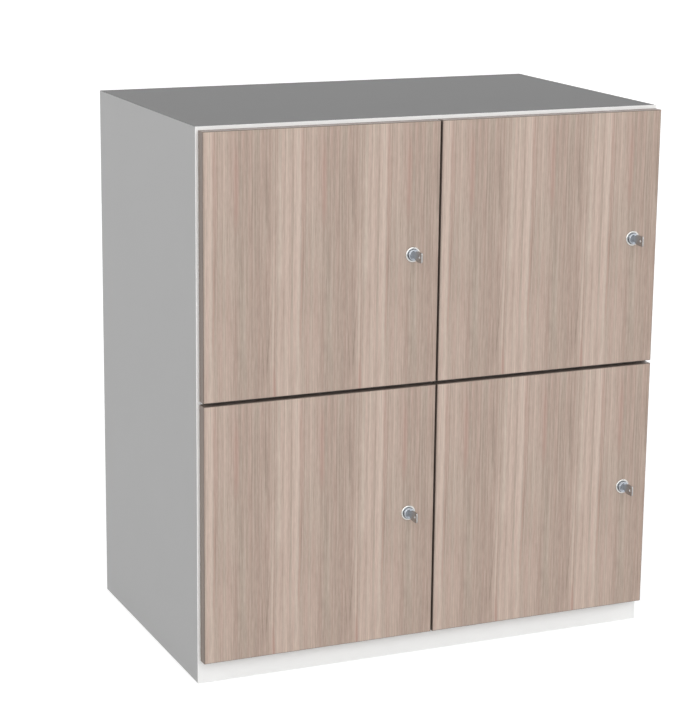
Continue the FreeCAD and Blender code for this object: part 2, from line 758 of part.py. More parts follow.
LOCK_PIECES = {
    "rosette": rosette,
    "lock_housing": lock_housing,
    "lock_nut": lock_nut,
    "lock_cylinder": lock_cylinder,
    "lock_cam": lock_cam,
    "key": key,
}
for column in COLUMNS:
    for row in ROWS:
        door = f"{row}_{column}"
        node(f"{door}_door_panel", door_panel(column, row))
        node(f"{door}_door_edgings", door_edgings(column, row))
        node(f"{door}_hinge_cups", group(*(
            copy(cup_master, f"{column}_pin_x", "pin_y", height) for height in hinge_heights(row))))
        for piece, build in LOCK_PIECES.items():
            node(f"{door}_{piece}",
                 place(build(), f"{column}_lock_x", "door_front_y", f"{row}_lock_z", "-y"))

# Build, test and write
doc.recompute()
for item in doc.Objects:
    if {"Invalid", "Error"} & set(item.State):
        raise RuntimeError(f"{item.Name} {item.Label}: {item.State}")
for name, item in nodes.items():
    if item.Shape.isNull() or not item.Shape.isValid() or not item.Shape.Solids:
        raise RuntimeError(f"{name} has no sound shape")
os.makedirs("parts", exist_ok=True)
for name, item in nodes.items():
    item.Shape.exportStep(f"parts/{name}.step")
print(f"{len(nodes)} nodes, {sum(len(item.Shape.Solids) for item in nodes.values())} solids")
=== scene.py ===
"""Looks of a four-door locker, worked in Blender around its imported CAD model.

The boards, facings, door edging, hinges, locks, keys and strikes are modelled here with Blender's own
operators, and every finish is procedural. All lengths are metres in the frame of the CAD model:
+Z is up, the doors are on the -Y side, and +X is to the right of someone who faces them.
"""
import logging
import math
from contextlib import contextmanager
from dataclasses import dataclass, field
from enum import Enum
from functools import cached_property
from typing import Callable, Iterator, Self, Sequence

import bmesh
import bpy
from mathutils import Matrix, Quaternion, Vector


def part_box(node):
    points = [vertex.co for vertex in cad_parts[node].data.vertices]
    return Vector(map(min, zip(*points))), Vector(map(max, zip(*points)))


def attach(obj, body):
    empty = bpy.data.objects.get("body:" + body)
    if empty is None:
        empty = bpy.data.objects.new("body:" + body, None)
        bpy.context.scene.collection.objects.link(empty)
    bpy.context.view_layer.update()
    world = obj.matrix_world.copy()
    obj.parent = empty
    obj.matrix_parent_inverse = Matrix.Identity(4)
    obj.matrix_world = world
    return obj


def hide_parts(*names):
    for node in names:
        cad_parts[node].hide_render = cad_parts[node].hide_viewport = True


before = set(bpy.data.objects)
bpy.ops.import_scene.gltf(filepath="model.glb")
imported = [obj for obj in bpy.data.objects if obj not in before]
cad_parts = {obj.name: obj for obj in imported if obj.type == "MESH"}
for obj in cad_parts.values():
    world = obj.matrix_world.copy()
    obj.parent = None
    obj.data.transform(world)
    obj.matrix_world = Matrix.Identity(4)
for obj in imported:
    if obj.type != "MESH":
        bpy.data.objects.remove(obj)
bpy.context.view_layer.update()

MM = 0.001
QUARTER_TURN = math.radians(90)
# How near a point lies to a plane before it counts as lying on it
TOUCH = 0.02 * MM
# How near two points lie before they are merged into one
MERGE = TOUCH / 4
# How much of a direction lies along an axis before it counts as running along it
ALIGNED = 0.99
# Faces of a copied mesh that meet at less than this are one flat face
FLAT_ANGLE = math.radians(1)
# Faces that meet at less than this are shaded as one
SMOOTH_ANGLE = math.radians(32)
# Faces that meet at more than this have their edge broken
SHARP_ANGLE = math.radians(40)
# The body that stands still
CARCASS = "carcass"
# Where the carcass front is along Y, with the edgings of its boards
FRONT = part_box("front_edgings")[0].y

Colour = tuple[float, float, float, float]
Triple = Sequence[float]
Box = tuple[Triple, Triple]
Place = Callable[[Vector], bool]
Test = Callable[[Vector, Vector], bool]
Steps = Sequence[tuple[float, float]]

log = logging.getLogger("locker")


class Column(Enum):
    """A column of compartments, as seen by someone who faces the doors."""

    LEFT = "left"
    RIGHT = "right"


class Row(Enum):
    """A row of compartments."""

    UPPER = "upper"
    LOWER = "lower"


class Element(Enum):
    """What is picked for an edit-mode operator."""

    VERTICES = "VERT"
    EDGES = "EDGE"
    FACES = "FACE"


class Ends(Enum):
    """How the two open ends of a turned piece are closed."""

    CAPPED = "capped"
    JOINED = "joined"


class Work(Enum):
    """What tools do to a piece."""

    CUT = "DIFFERENCE"
    FUSE = "UNION"
    TRIM = "INTERSECT"


def anywhere(middle: Vector) -> bool:
    """Take every place."""
    return True


def everything(middle: Vector, direction: Vector) -> bool:
    """Pick all of a piece."""
    return True


def nothing(middle: Vector, direction: Vector) -> bool:
    """Pick none of a piece."""
    return False


def facing(axis: int, sign: int, place: Place = anywhere) -> Test:
    """Pick faces that look along one axis, the way that the sign says, where their middle suits."""
    return lambda middle, normal: normal[axis] * sign > ALIGNED and place(middle)


def running(axis: int, place: Place = anywhere) -> Test:
    """Pick edges that run along one axis, or faces square to it, where their middle suits."""
    return lambda middle, direction: abs(direction[axis]) > ALIGNED and place(middle)


def at(spot: Triple, quarters: float = 0, axis: str = "X") -> Matrix:
    """A place, and some quarter turns about an axis through it."""
    return Matrix.Translation(spot) @ Matrix.Rotation(quarters * QUARTER_TURN, 4, axis)


def sides_met(point: Vector, box: Box, axes: Sequence[int] = (0, 1, 2)) -> int:
    """Count the axes along which a point lies on a side of a box."""
    return sum(min(point[axis] - box[0][axis], box[1][axis] - point[axis]) < TOUCH for axis in axes)


def shaped(shares: Steps, radius: float, height: float) -> list[tuple[float, float]]:
    """The steps of a profile, from their shares of its radius and height."""
    return [(across * radius, up * height) for across, up in shares]


def deselect() -> None:
    """Select no object, because an operator acts on all that is selected."""
    if bpy.context.mode != "OBJECT":
        bpy.ops.object.mode_set(mode="OBJECT")
    bpy.ops.object.select_all(action="DESELECT")


@dataclass(frozen=True)
class Finish:
    """A built material, and the name of the slot that it belongs to."""

    slot: str
    material: bpy.types.Material


class Workpiece:
    """A mesh on the bench, shaped by edit-mode operators and finished by applied modifiers.

    A method that shapes it returns the same piece, so that one step can follow another.
    """

    def __init__(self, piece: bpy.types.Object, name: str) -> None:
        """Take charge of an object and give it its name.

        Args:
            piece: the object.
            name: its name and its mesh's.
        """
        self.piece = piece
        piece.name = name
        piece.data.name = name

    @classmethod
    def added(cls, name: str, primitive: Callable[..., set[str]], **settings: object) -> Self:
        """Start a piece from a primitive.

        Args:
            name: the piece's name.
            primitive: the operator that adds it.
            settings: the operator's own settings.

        Returns:
            The primitive, with its place in its mesh.
        """
        deselect()
        primitive(**settings)
        return cls(bpy.context.object, name).settled()

    @classmethod
    def block(cls, name: str, low: Triple, high: Triple) -> Self:
        """Start a piece from a cube between two corners.

        Args:
            name: the piece's name.
            low: the lowest corner.
            high: the highest corner.

        Returns:
            The block, with its place in its mesh.
        """
        low, high = Vector(low), Vector(high)
        return cls.added(name, bpy.ops.mesh.primitive_cube_add, size=1, location=(low + high) / 2,
                         scale=high - low)

    @classmethod
    def bar(cls, name: str, radius: float, low: float, high: float, sides: int = 40) -> Self:
        """Start a piece from a cylinder about the Z axis."""
        return cls.added(name, bpy.ops.mesh.primitive_cylinder_add, vertices=sides, radius=radius,
                         depth=high - low, location=(0, 0, (low + high) / 2))

    @classmethod
    def turned(cls, name: str, profile: Steps, ends: Ends, sides: int = 64) -> Self:
        """Turn a piece about the Z axis: a ring is extruded and resized from step to step of a profile.

        Args:
            name: the piece's name.
            profile: radius and height of each step.
            ends: whether the first and last rings are capped or joined to each other.
            sides: the number of sides all round.

        Returns:
            The closed piece, its faces pointing outwards.
        """
        radius, height = profile[0]
        work = cls.added(name, bpy.ops.mesh.primitive_circle_add, vertices=sides, radius=radius,
                         location=(0, 0, height))
        with work.picked(Element.EDGES, everything):
            for next_radius, next_height in profile[1:]:
                bpy.ops.mesh.extrude_region_move(
                    TRANSFORM_OT_translate={"value": (0, 0, next_height - height)})
                share = next_radius / radius
                bpy.ops.transform.resize(value=(share, share, 1), center_override=(0, 0, next_height))
                radius, height = next_radius, next_height
        return work.closed(ends)

    @classmethod
    def from_node(cls, name: str, node: str) -> Self:
        """Start a piece from a merged copy of a CAD node's mesh.

        Args:
            name: the piece's name.
            node: the CAD node that is copied.

        Returns:
            The copy, its flat faces whole again.
        """
        deselect()
        copy = bpy.data.objects.new(name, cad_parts[node].data.copy())
        bpy.context.scene.collection.objects.link(copy)
        copy.data.materials.clear()
        work = cls(copy, name)
        work.activate()
        bpy.ops.mesh.customdata_custom_splitnormals_clear()
        with work.picked(Element.VERTICES, everything):
            bpy.ops.mesh.remove_doubles(threshold=TOUCH)
            bpy.ops.mesh.dissolve_limited(angle_limit=FLAT_ANGLE)
        return work

    def activate(self) -> None:
        """Select this piece alone."""
        deselect()
        self.piece.select_set(True)
        bpy.context.view_layer.objects.active = self.piece

    def settled(self) -> Self:
        """Move the piece's place, turn and scale into its mesh.

        Returns:
            The same piece.
        """
        self.activate()
        bpy.ops.object.transform_apply(location=True, rotation=True, scale=True)
        return self

    def placed(self, matrix: Matrix) -> Self:
        """Put the piece at a place and turn given by a matrix."""
        self.piece.matrix_world = matrix
        return self.settled()

    @contextmanager
    def picked(self, element: Element, wanted: Test) -> Iterator[None]:
        """Open the piece in edit mode with some of it selected, and close it afterwards.

        Args:
            element: what is picked.
            wanted: tells from a middle and a direction, or a face's normal, whether it is picked.

        Yields:
            Nothing: the operators inside the with block act on what is picked.
        """
        self.activate()
        bpy.ops.object.mode_set(mode="EDIT")
        bpy.ops.mesh.select_mode(type=element.value)
        bpy.ops.mesh.select_all(action="DESELECT")
        mesh = bmesh.from_edit_mesh(self.piece.data)
        if element is Element.FACES:
            rows = [(face, face.calc_center_median(), face.normal) for face in mesh.faces]
        elif element is Element.EDGES:
            rows = [(edge, (edge.verts[0].co + edge.verts[1].co) / 2,
                     (edge.verts[1].co - edge.verts[0].co).normalized()) for edge in mesh.edges]
        else:
            rows = [(point, point.co, point.normal) for point in mesh.verts]
        for part, middle, direction in rows:
            if wanted(middle, direction):
                part.select_set(True)
        bmesh.update_edit_mesh(self.piece.data)
        yield
        bpy.ops.object.mode_set(mode="OBJECT")

    def closed(self, ends: Ends) -> Self:
        """Close the two open ends, and turn all faces outwards.

        Args:
            ends: whether the ends are capped or joined to each other.

        Returns:
            The same piece.
        """
        with self.picked(Element.EDGES, nothing):
            bpy.ops.mesh.select_non_manifold()
            if ends is Ends.JOINED:
                bpy.ops.mesh.bridge_edge_loops()
            else:
                bpy.ops.mesh.fill_holes(sides=0)
            bpy.ops.mesh.select_all(action="SELECT")
            bpy.ops.mesh.normals_make_consistent(inside=False)
        return self

    def extruded(self, wanted: Test, offset: Triple, resize: Triple = (1, 1, 1),
                 centre: Triple = (0, 0, 0)) -> Self:
        """Push a face out and resize its new end.

        Args:
            wanted: picks the face.
            offset: how far the new end moves.
            resize: by how much the new end is resized.
            centre: the point that the resize keeps.

        Returns:
            The same piece.
        """
        with self.picked(Element.FACES, wanted):
            bpy.ops.mesh.extrude_region_move(TRANSFORM_OT_translate={"value": offset})
            bpy.ops.transform.resize(value=resize, center_override=centre)
        return self

    def recessed(self, wanted: Test, margin: float, depth: float) -> Self:
        """Sink a field into a face.

        Args:
            wanted: picks the face.
            margin: how far inside the face's edges the field starts.
            depth: how deep it is sunk, and how wide its slope is.

        Returns:
            The same piece.
        """
        with self.picked(Element.FACES, wanted):
            bpy.ops.mesh.inset(thickness=margin)
            bpy.ops.mesh.inset(thickness=depth, depth=-depth)
        return self

    def rounded(self, wanted: Test, radius: float, segments: int = 3) -> Self:
        """Round the picked edges by a bevel in edit mode.

        Args:
            wanted: picks the edges.
            radius: how far the rounding reaches on each side.
            segments: its number of steps.

        Returns:
            The same piece.
        """
        with self.picked(Element.EDGES, wanted):
            bpy.ops.mesh.bevel(offset=radius, segments=segments, affect="EDGES", clamp_overlap=True)
        return self

    def scored(self, spot: Triple, direction: Triple) -> Self:
        """Cut edges all round the piece, where a plane goes through it.

        Args:
            spot: a point of the plane.
            direction: the plane's normal.

        Returns:
            The same piece.
        """
        with self.picked(Element.FACES, everything):
            bpy.ops.mesh.bisect(plane_co=spot, plane_no=direction)
        return self

    def cleaned(self) -> Self:
        """Merge the points that a bevel leaves in one place.

        Returns:
            The same piece.
        """
        with self.picked(Element.VERTICES, everything):
            bpy.ops.mesh.remove_doubles(threshold=MERGE)
            bpy.ops.mesh.dissolve_degenerate(threshold=MERGE)
        return self

    def modified(self, kind: str, **settings: object) -> Self:
        """Add a modifier with its settings and apply it.

        Args:
            kind: the modifier's type.
            settings: its own settings.

        Returns:
            The same piece.
        """
        self.activate()
        modifier = self.piece.modifiers.new(kind.lower(), kind)
        for name, value in settings.items():
            setattr(modifier, name, value)
        bpy.ops.object.modifier_apply(modifier=modifier.name)
        return self

    def softened(self, width: float) -> Self:
        """Break every sharp edge."""
        return self.modified("BEVEL", width=width, segments=2, limit_method="ANGLE",
                             angle_limit=SHARP_ANGLE, use_clamp_overlap=True)

    def combined(self, work: Work, *tools: Self) -> Self:
        """Cut, fuse or trim the piece with tools, which are used up.

        Args:
            work: what the tools do.
            tools: the pieces that do it.

        Returns:
            The same piece.
        """
        for tool in tools:
            self.modified("BOOLEAN", operation=work.value, solver="EXACT", object=tool.piece)
            tool.removed()
        return self

    def joined(self, *others: Self) -> Self:
        """Take other pieces into this one's mesh, as separate shells.

        Args:
            others: the pieces that are used up.

        Returns:
            The same piece.
        """
        self.activate()
        for other in others:
            other.piece.select_set(True)
        bpy.ops.object.join()
        return self

    def copied(self, name: str, matrix: Matrix) -> Self:
        """Make a copy with its own mesh, at its own place.

        Args:
            name: the copy's name.
            matrix: its place and turn.

        Returns:
            The copy.
        """
        self.activate()
        bpy.ops.object.duplicate()
        return type(self)(bpy.context.object, name).placed(matrix)

    def removed(self) -> None:
        """Take a tool or a pattern off the bench once it is used."""
        bpy.data.objects.remove(self.piece)

    def fitted(self, body: str, finish: Finish, *nodes: str) -> None:
        """Smooth, finish and hand over the piece.

        Args:
            body: the CAD body that it rides on.
            finish: its material and slot.
            nodes: the CAD nodes that it stands for.
        """
        self.activate()
        bpy.ops.object.shade_smooth_by_angle(angle=SMOOTH_ANGLE, keep_sharp_edges=False)
        self.modified("WEIGHTED_NORMAL", keep_sharp=True, weight=100)
        self.piece.data.materials.clear()
        self.piece.data.materials.append(finish.material)
        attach(self.piece, body)
        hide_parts(*nodes)
        log.info("%s on %s, %d faces", self.piece.name, body, len(self.piece.data.polygons))


def dress(node: str, material: bpy.types.Material) -> None:
    """Give a CAD node that keeps its own shape its finish.

    Args:
        node: the node's name.
        material: the finish.
    """
    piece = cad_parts[node]
    if not piece.material_slots:
        piece.data.materials.append(material)
    for place in piece.material_slots:
        place.material = material
    log.info("%s keeps its shape, in %s", node, material.name)


def set_out(title: str, finish: Finish, node: str, copies: Sequence[tuple[Workpiece, Matrix]],
            body: str = CARCASS) -> None:
    """Copy patterns to their places, as one piece that stands for a node."""
    made = [pattern.copied(title, place) for pattern, place in copies]
    made[0].joined(*made[1:]).fitted(body, finish, node)


def srgb(red: int, green: int, blue: int) -> Colour:
    """Turn a colour as seen on a screen, 0 to 255, into linear light.

    Args:
        red: its red.
        green: its green.
        blue: its blue.

    Returns:
        The colour, opaque.
    """
    def linear(value: int) -> float:
        """One part of the colour, by the screen's own curve."""
        share = value / 255
        return share / 12.92 if share <= 0.04045 else ((share + 0.055) / 1.055) ** 2.4
    return linear(red), linear(green), linear(blue), 1.0


def toned(colour: Colour, share: float) -> Colour:
    """A colour made darker or lighter by a share."""
    return tuple(min(1.0, part * share) for part in colour[:3]) + (1.0,)


@dataclass(frozen=True)
class Speckle:
    """One kind of noise: its size, how fine it goes, and how it is stretched along each axis."""

    scale: float = 1
    detail: float = 2
    roughness: float = 0.5
    stretch: tuple[float, float, float] = (1, 1, 1)


class NodeSheet:
    """A node tree under construction."""

    def __init__(self, tree: bpy.types.NodeTree) -> None:
        """Start with an empty tree."""
        self.tree = tree
        tree.nodes.clear()

    def put(self, socket: bpy.types.NodeSocket, value: object) -> None:
        """Link a socket to another node's, or set its own value.

        Args:
            socket: the input.
            value: a socket to link it to, or its value.
        """
        if isinstance(value, bpy.types.NodeSocket):
            self.tree.links.new(value, socket)
        else:
            socket.default_value = value

    def node(self, kind: str, inputs: dict, **settings: object) -> bpy.types.Node:
        """Add a node.

        Args:
            kind: the node's type.
            inputs: values or sockets by the name or number of the input.
            settings: the node's own settings.

        Returns:
            The node.
        """
        made = self.tree.nodes.new(kind)
        for name, value in settings.items():
            setattr(made, name, value)
        for name, value in inputs.items():
            self.put(made.inputs[name], value)
        return made

    def math(self, operation: str, first: object, second: object = 0.0, clamp: bool = False) -> object:
        """Reckon with one or two values."""
        return self.node("ShaderNodeMath", {0: first, 1: second}, operation=operation,
                         use_clamp=clamp).outputs[0]


class Shader(NodeSheet):
    """A procedural material under construction, drawn on a piece's own Object coordinates."""

    def __init__(self, name: str) -> None:
        """Start an empty material.

        Args:
            name: the material's name.
        """
        self.material = bpy.data.materials.new(name)
        self.material.use_nodes = True
        super().__init__(self.material.node_tree)

    @cached_property
    def coordinates(self) -> bpy.types.Node:
        """The node that gives the piece's own coordinates."""
        return self.node("ShaderNodeTexCoord", {})

    def stretched(self, place: object, scale: Triple, shift: Triple = (0, 0, 0)) -> object:
        """Coordinates stretched and then shifted."""
        return self.node("ShaderNodeMapping", {"Vector": place, "Location": shift,
                                               "Scale": scale}).outputs[0]

    def spot(self, scale: Triple = (1, 1, 1), origin: Triple = (0, 0, 0)) -> object:
        """Object coordinates measured from an origin and stretched."""
        moved = [-start * stretch for start, stretch in zip(origin, scale)]
        return self.stretched(self.coordinates.outputs["Object"], scale, moved)

    def noise(self, place: object, kind: Speckle = Speckle()) -> object:
        """A noise of 0 to 1 about 0.5, at a place."""
        return self.node("ShaderNodeTexNoise", {"Vector": place, "Scale": kind.scale, "Detail": kind.detail,
                                                "Roughness": kind.roughness}).outputs[0]

    def speckle(self, kind: Speckle, origin: Triple = (0, 0, 0)) -> object:
        """A noise of 0 to 1 about 0.5, on the piece's own coordinates."""
        return self.noise(self.spot(kind.stretch, origin), kind)

    def swing(self, value: object, amount: float) -> object:
        """A value of 0 to 1 turned into a swing of an amount either way."""
        return self.math("MULTIPLY", self.math("SUBTRACT", value, 0.5), 2 * amount)

    def ramp(self, value: object, stops: Sequence[tuple[float, Colour]]) -> object:
        """A colour by a value.

        Args:
            value: the value, 0 to 1.
            stops: positions and their colours.

        Returns:
            The colour's socket.
        """
        made = self.node("ShaderNodeValToRGB", {0: value})
        while len(made.color_ramp.elements) < len(stops):
            made.color_ramp.elements.new(1.0)
        for element, (position, colour) in zip(made.color_ramp.elements, stops):
            element.position = position
            element.color = colour
        return made.outputs[0]

    def fade(self, value: object, span: tuple[float, float], first: Colour, second: Colour) -> object:
        """A colour that goes from one to another as a value goes over a span."""
        return self.ramp(value, [(span[0], first), (span[1], second)])

    def mix(self, share: object, first: object, second: object, blend: str = "MIX") -> object:
        """One colour mixed into another by a share."""
        return self.node("ShaderNodeMix", {0: share, 6: first, 7: second}, data_type="RGBA",
                         blend_type=blend).outputs[2]

    def span(self, value: object, low: float, high: float) -> object:
        """A value of 0 to 1 spread from low to high."""
        return self.node("ShaderNodeMapRange", {0: value, 3: low, 4: high}).outputs[0]

    def bump(self, height: object, distance: float, strength: float = 0.5) -> object:
        """A normal from a height of 0 to 1 and the real depth of the relief."""
        return self.node("ShaderNodeBump", {"Height": height, "Distance": distance,
                                            "Strength": strength}).outputs[0]


class Surface:
    """What every finish shares: one principled surface, whose inputs the finish gives."""

    def inputs(self, shader: Shader) -> dict:
        """Give the surface's inputs, by name."""
        raise NotImplementedError

    def material(self, name: str) -> bpy.types.Material:
        """Build the material.

        Args:
            name: its name.

        Returns:
            The material.
        """
        shader = Shader(name)
        surface = shader.node("ShaderNodeBsdfPrincipled", self.inputs(shader))
        shader.node("ShaderNodeOutputMaterial", {"Surface": surface.outputs[0]})
        return shader.material


@dataclass(frozen=True)
class Melamine(Surface):
    """Resin-faced board or edging: one tone with a fine pearl texture."""

    tone: Colour
    drift: float = 0.03
    contrast: float = 0.2
    sheen: float = 0.68
    sheen_drift: float = 0.08
    relief: float = 0.06 * MM
    relief_share: float = 0.6
    gloss: float = 0.06
    pebble: Speckle = Speckle(700, 3, 0.6)
    cloud: Speckle = Speckle(9)

    def inputs(self, shader: Shader) -> dict:
        """Mottle the tone, the sheen and the relief.

        Args:
            shader: the material under construction.

        Returns:
            The surface's inputs.
        """
        pebble = shader.speckle(self.pebble)
        drift = [shader.swing(mottle, self.drift) for mottle in (pebble, shader.speckle(self.cloud))]
        dark, light = toned(self.tone, 1 - self.contrast), toned(self.tone, 1 + self.contrast)
        return {
            "Base Color": shader.ramp(shader.math("ADD", shader.math("ADD", *drift), 0.5),
                                      [(0, dark), (0.5, self.tone), (1, light)]),
            "Roughness": shader.span(pebble, self.sheen - self.sheen_drift, self.sheen + self.sheen_drift),
            "Normal": shader.bump(pebble, self.relief, self.relief_share),
            "Specular IOR Level": self.gloss,
        }


class Tint(Enum):
    """What a streak does to the decor."""

    DARK = -1
    LIGHT = 1
    ROSE = 0


@dataclass(frozen=True)
class Streak:
    """One long mark in the decor's printed picture, placed in mm from the picture's lower left corner."""

    tint: Tint
    across: float
    low: float
    high: float
    half_width: float
    strength: float
    lean: float = 0.0
    fade: float = 40


@dataclass(frozen=True)
class Grain:
    """One size of fibre in the decor: how wide and long it is in mm, and how much it swings the tone."""

    width: float
    length: float
    amount: float
    shift: float = 0.0


@dataclass(frozen=True)
class WoodDecor(Surface):
    """Printed wood decor with upright grain, whose picture repeats across the board."""

    corner: Vector
    repeat: float = 144.5 * MM
    dark: Colour = srgb(153, 135, 122)
    middle: Colour = srgb(186, 167, 154)
    light: Colour = srgb(215, 199, 187)
    rose: Colour = srgb(184, 147, 136)
    blush: Colour = srgb(197, 168, 156)
    ash: Colour = srgb(178, 167, 154)
    rose_depth: float = 0.7
    matt: tuple[float, float] = (0.5, 0.65)
    relief: float = 0.05 * MM
    gloss: float = 0.25
    fibre: Speckle = Speckle(roughness=0.6)
    pores: tuple[float, float, float] = (1400, 1, 18)
    wander: Speckle = Speckle(detail=1, stretch=(14, 0, 5))
    wander_reach: float = 1.6 * MM
    hues: Grain = Grain(8, 300, 0.5, 17)
    hue_span: tuple[float, float] = (0.3, 0.7)
    grains: tuple[Grain, ...] = (
        Grain(14, 120, 0.14), Grain(5, 180, 0.18, 3), Grain(3, 1200, 0.28, 5), Grain(2.6, 60, 0.27, 9),
        Grain(2.4, 16, 0.22, 13), Grain(1.3, 900, 0.42, 7), Grain(0.7, 260, 0.30, 11))
    bands: tuple[tuple[float, float], ...] = (
        (0.00, 0.58), (0.02, 0.64), (0.06, 0.80), (0.095, 0.75), (0.125, 0.52), (0.19, 0.50), (0.28, 0.63),
        (0.35, 0.45), (0.40, 0.36), (0.47, 0.42), (0.52, 0.53), (0.59, 0.32), (0.66, 0.46), (0.74, 0.43),
        (0.79, 0.60), (0.83, 0.47), (0.87, 0.77), (0.905, 0.63), (0.955, 0.82), (1.00, 0.58))
    streaks: tuple[Streak, ...] = (
        Streak(Tint.ROSE, 18, 170, 420, 4, 0.45),
        Streak(Tint.ROSE, 17, 60, 250, 3, 0.7, lean=0.012),
        Streak(Tint.ROSE, 54, 255, 405, 7, 0.65),
        Streak(Tint.ROSE, 118, -40, 60, 4, 0.95, lean=-0.02),
        Streak(Tint.DARK, 20, 150, 260, 2, 0.16, lean=0.02),
        Streak(Tint.DARK, 102, 240, 405, 6, 0.20, lean=-0.01),
        Streak(Tint.DARK, 104, 262, 345, 2.4, 0.16, lean=0.02),
        Streak(Tint.DARK, 108, 15, 160, 1.6, 0.30, lean=0.07),
        Streak(Tint.DARK, 98, 10, 140, 1.3, 0.26, lean=-0.04),
        Streak(Tint.DARK, 101, 150, 215, 5, 0.14),
        Streak(Tint.LIGHT, 115, 10, 180, 4, 0.14),
        Streak(Tint.LIGHT, 10, 40, 300, 4, 0.10),
    )

    def fibres(self, shader: Shader, tile: object, grain: Grain) -> object:
        """A noise of 0 to 1, drawn out along the board's grain, at a place in the decor's picture."""
        scale = (1 / (grain.width * MM), 1, 1 / (grain.length * MM))
        return shader.noise(shader.stretched(tile, scale, (0, 0, grain.shift)), self.fibre)

    def mask(self, shader: Shader, across: object, up: object, streak: Streak) -> object:
        """How much of a streak shows at a place.

        Args:
            shader: the material under construction.
            across: distance from the picture's left edge.
            up: height above the board's lower edge.
            streak: the streak.

        Returns:
            A socket of 0 to 1.
        """
        low, high, fade = streak.low * MM, streak.high * MM, streak.fade * MM
        leant = shader.math("MULTIPLY", shader.math("SUBTRACT", up, (low + high) / 2), streak.lean)
        aside = shader.math("SUBTRACT", shader.math("SUBTRACT", across, streak.across * MM), leant)
        spread = shader.math("DIVIDE", shader.math("ABSOLUTE", aside), streak.half_width * MM)
        near = shader.math("SUBTRACT", 1.0, spread, clamp=True)
        above = shader.math("DIVIDE", shader.math("SUBTRACT", up, low), fade, clamp=True)
        below = shader.math("DIVIDE", shader.math("SUBTRACT", high, up), fade, clamp=True)
        ends = shader.math("MULTIPLY", above, below)
        return shader.math("MULTIPLY", shader.math("MULTIPLY", near, ends), streak.strength)

    def inputs(self, shader: Shader) -> dict:
        """Draw bands, fibres and streaks, repeated from the board's lower left front corner.

        Args:
            shader: the material under construction.

        Returns:
            The surface's inputs.
        """
        place = shader.node("ShaderNodeSeparateXYZ", {0: shader.spot(origin=self.corner)}).outputs
        wander = shader.swing(shader.speckle(self.wander, self.corner), self.wander_reach)
        turn = shader.math("DIVIDE", shader.math("ADD", place["X"], wander), self.repeat)
        share = shader.math("FRACT", turn)
        across = shader.math("MULTIPLY", share, self.repeat)
        tile = shader.node("ShaderNodeCombineXYZ", {"X": across, "Z": place["Z"]}).outputs[0]
        tone = shader.ramp(share, [(spot, (level, level, level, 1.0)) for spot, level in self.bands])
        for grain in self.grains:
            tone = shader.math("ADD", tone, shader.swing(self.fibres(shader, tile, grain), grain.amount))
        rose = 0.0
        for streak in self.streaks:
            mark = self.mask(shader, across, place["Z"], streak)
            if streak.tint is Tint.ROSE:
                rose = shader.math("MAXIMUM", rose, mark)
            else:
                tone = shader.math("ADD", tone, shader.math("MULTIPLY", mark, streak.tint.value))
        wood = shader.ramp(tone, [(0, self.dark), (0.5, self.middle), (1, self.light)])
        hue = shader.fade(self.fibres(shader, tile, self.hues), self.hue_span, self.ash, self.blush)
        wood = shader.mix(self.hues.amount, wood, hue, "COLOR")
        pores = shader.noise(shader.stretched(tile, self.pores))
        return {
            "Base Color": shader.mix(shader.math("MULTIPLY", rose, self.rose_depth), wood, self.rose),
            "Roughness": shader.span(pores, *self.matt),
            "Normal": shader.bump(pores, self.relief),
            "Specular IOR Level": self.gloss,
        }


@dataclass(frozen=True)
class EdgeDecor(Surface):
    """The door edging: the decor's browns drawn darker as painted shade, the way its edges look in shade,
    with its grain along each strip.
    """

    # Painted shade: both colours are the door decor's browns darkened as its edge faces look in shade
    dark: Colour = srgb(92, 80, 72)
    light: Colour = srgb(134, 119, 109)
    upright: Speckle = Speckle(1, 3, 0.6, (700, 700, 9))
    level: Speckle = Speckle(1, 3, 0.6, (9, 700, 700))
    lying: float = 0.7
    fading: tuple[float, float] = (0.25, 0.75)
    matt: tuple[float, float] = (0.4, 0.55)
    relief: float = 0.04 * MM

    def inputs(self, shader: Shader) -> dict:
        """Run the grain upright, and level on the strips that lie.

        Args:
            shader: the material under construction.

        Returns:
            The surface's inputs.
        """
        normal = shader.node("ShaderNodeSeparateXYZ", {0: shader.coordinates.outputs["Normal"]})
        lying = shader.math("GREATER_THAN", shader.math("ABSOLUTE", normal.outputs["Z"]), self.lying)
        grains = {0: lying, 2: shader.speckle(self.upright), 3: shader.speckle(self.level)}
        grain = shader.node("ShaderNodeMix", grains).outputs[0]
        return {
            "Base Color": shader.fade(grain, self.fading, self.dark, self.light),
            "Roughness": shader.span(grain, *self.matt),
            "Normal": shader.bump(grain, self.relief),
        }


@dataclass(frozen=True)
class Metal(Surface):
    """Plated or plain metal with fine working marks and handling wear."""

    tone: Colour
    polish: float
    lines: Speckle = Speckle(stretch=(900, 900, 900))
    smudge: Speckle = Speckle(120, 3)
    wear: float = 0.12
    fading: tuple[float, float] = (0.3, 0.6)
    line_gloss: float = 0.06
    smudge_gloss: float = 0.08
    relief: float = 0.004 * MM
    relief_share: float = 0.3

    def inputs(self, shader: Shader) -> dict:
        """Dull the metal in smudges, and line it finely.

        Args:
            shader: the material under construction.

        Returns:
            The surface's inputs.
        """
        lines, smudge = shader.speckle(self.lines), shader.speckle(self.smudge)
        gloss = shader.math("ADD", shader.swing(lines, self.line_gloss),
                            shader.swing(smudge, self.smudge_gloss))
        return {
            "Base Color": shader.fade(smudge, self.fading, toned(self.tone, 1 - self.wear), self.tone),
            "Metallic": 1.0,
            "Roughness": shader.math("ADD", gloss, self.polish),
            "Normal": shader.bump(lines, self.relief, self.relief_share),
        }


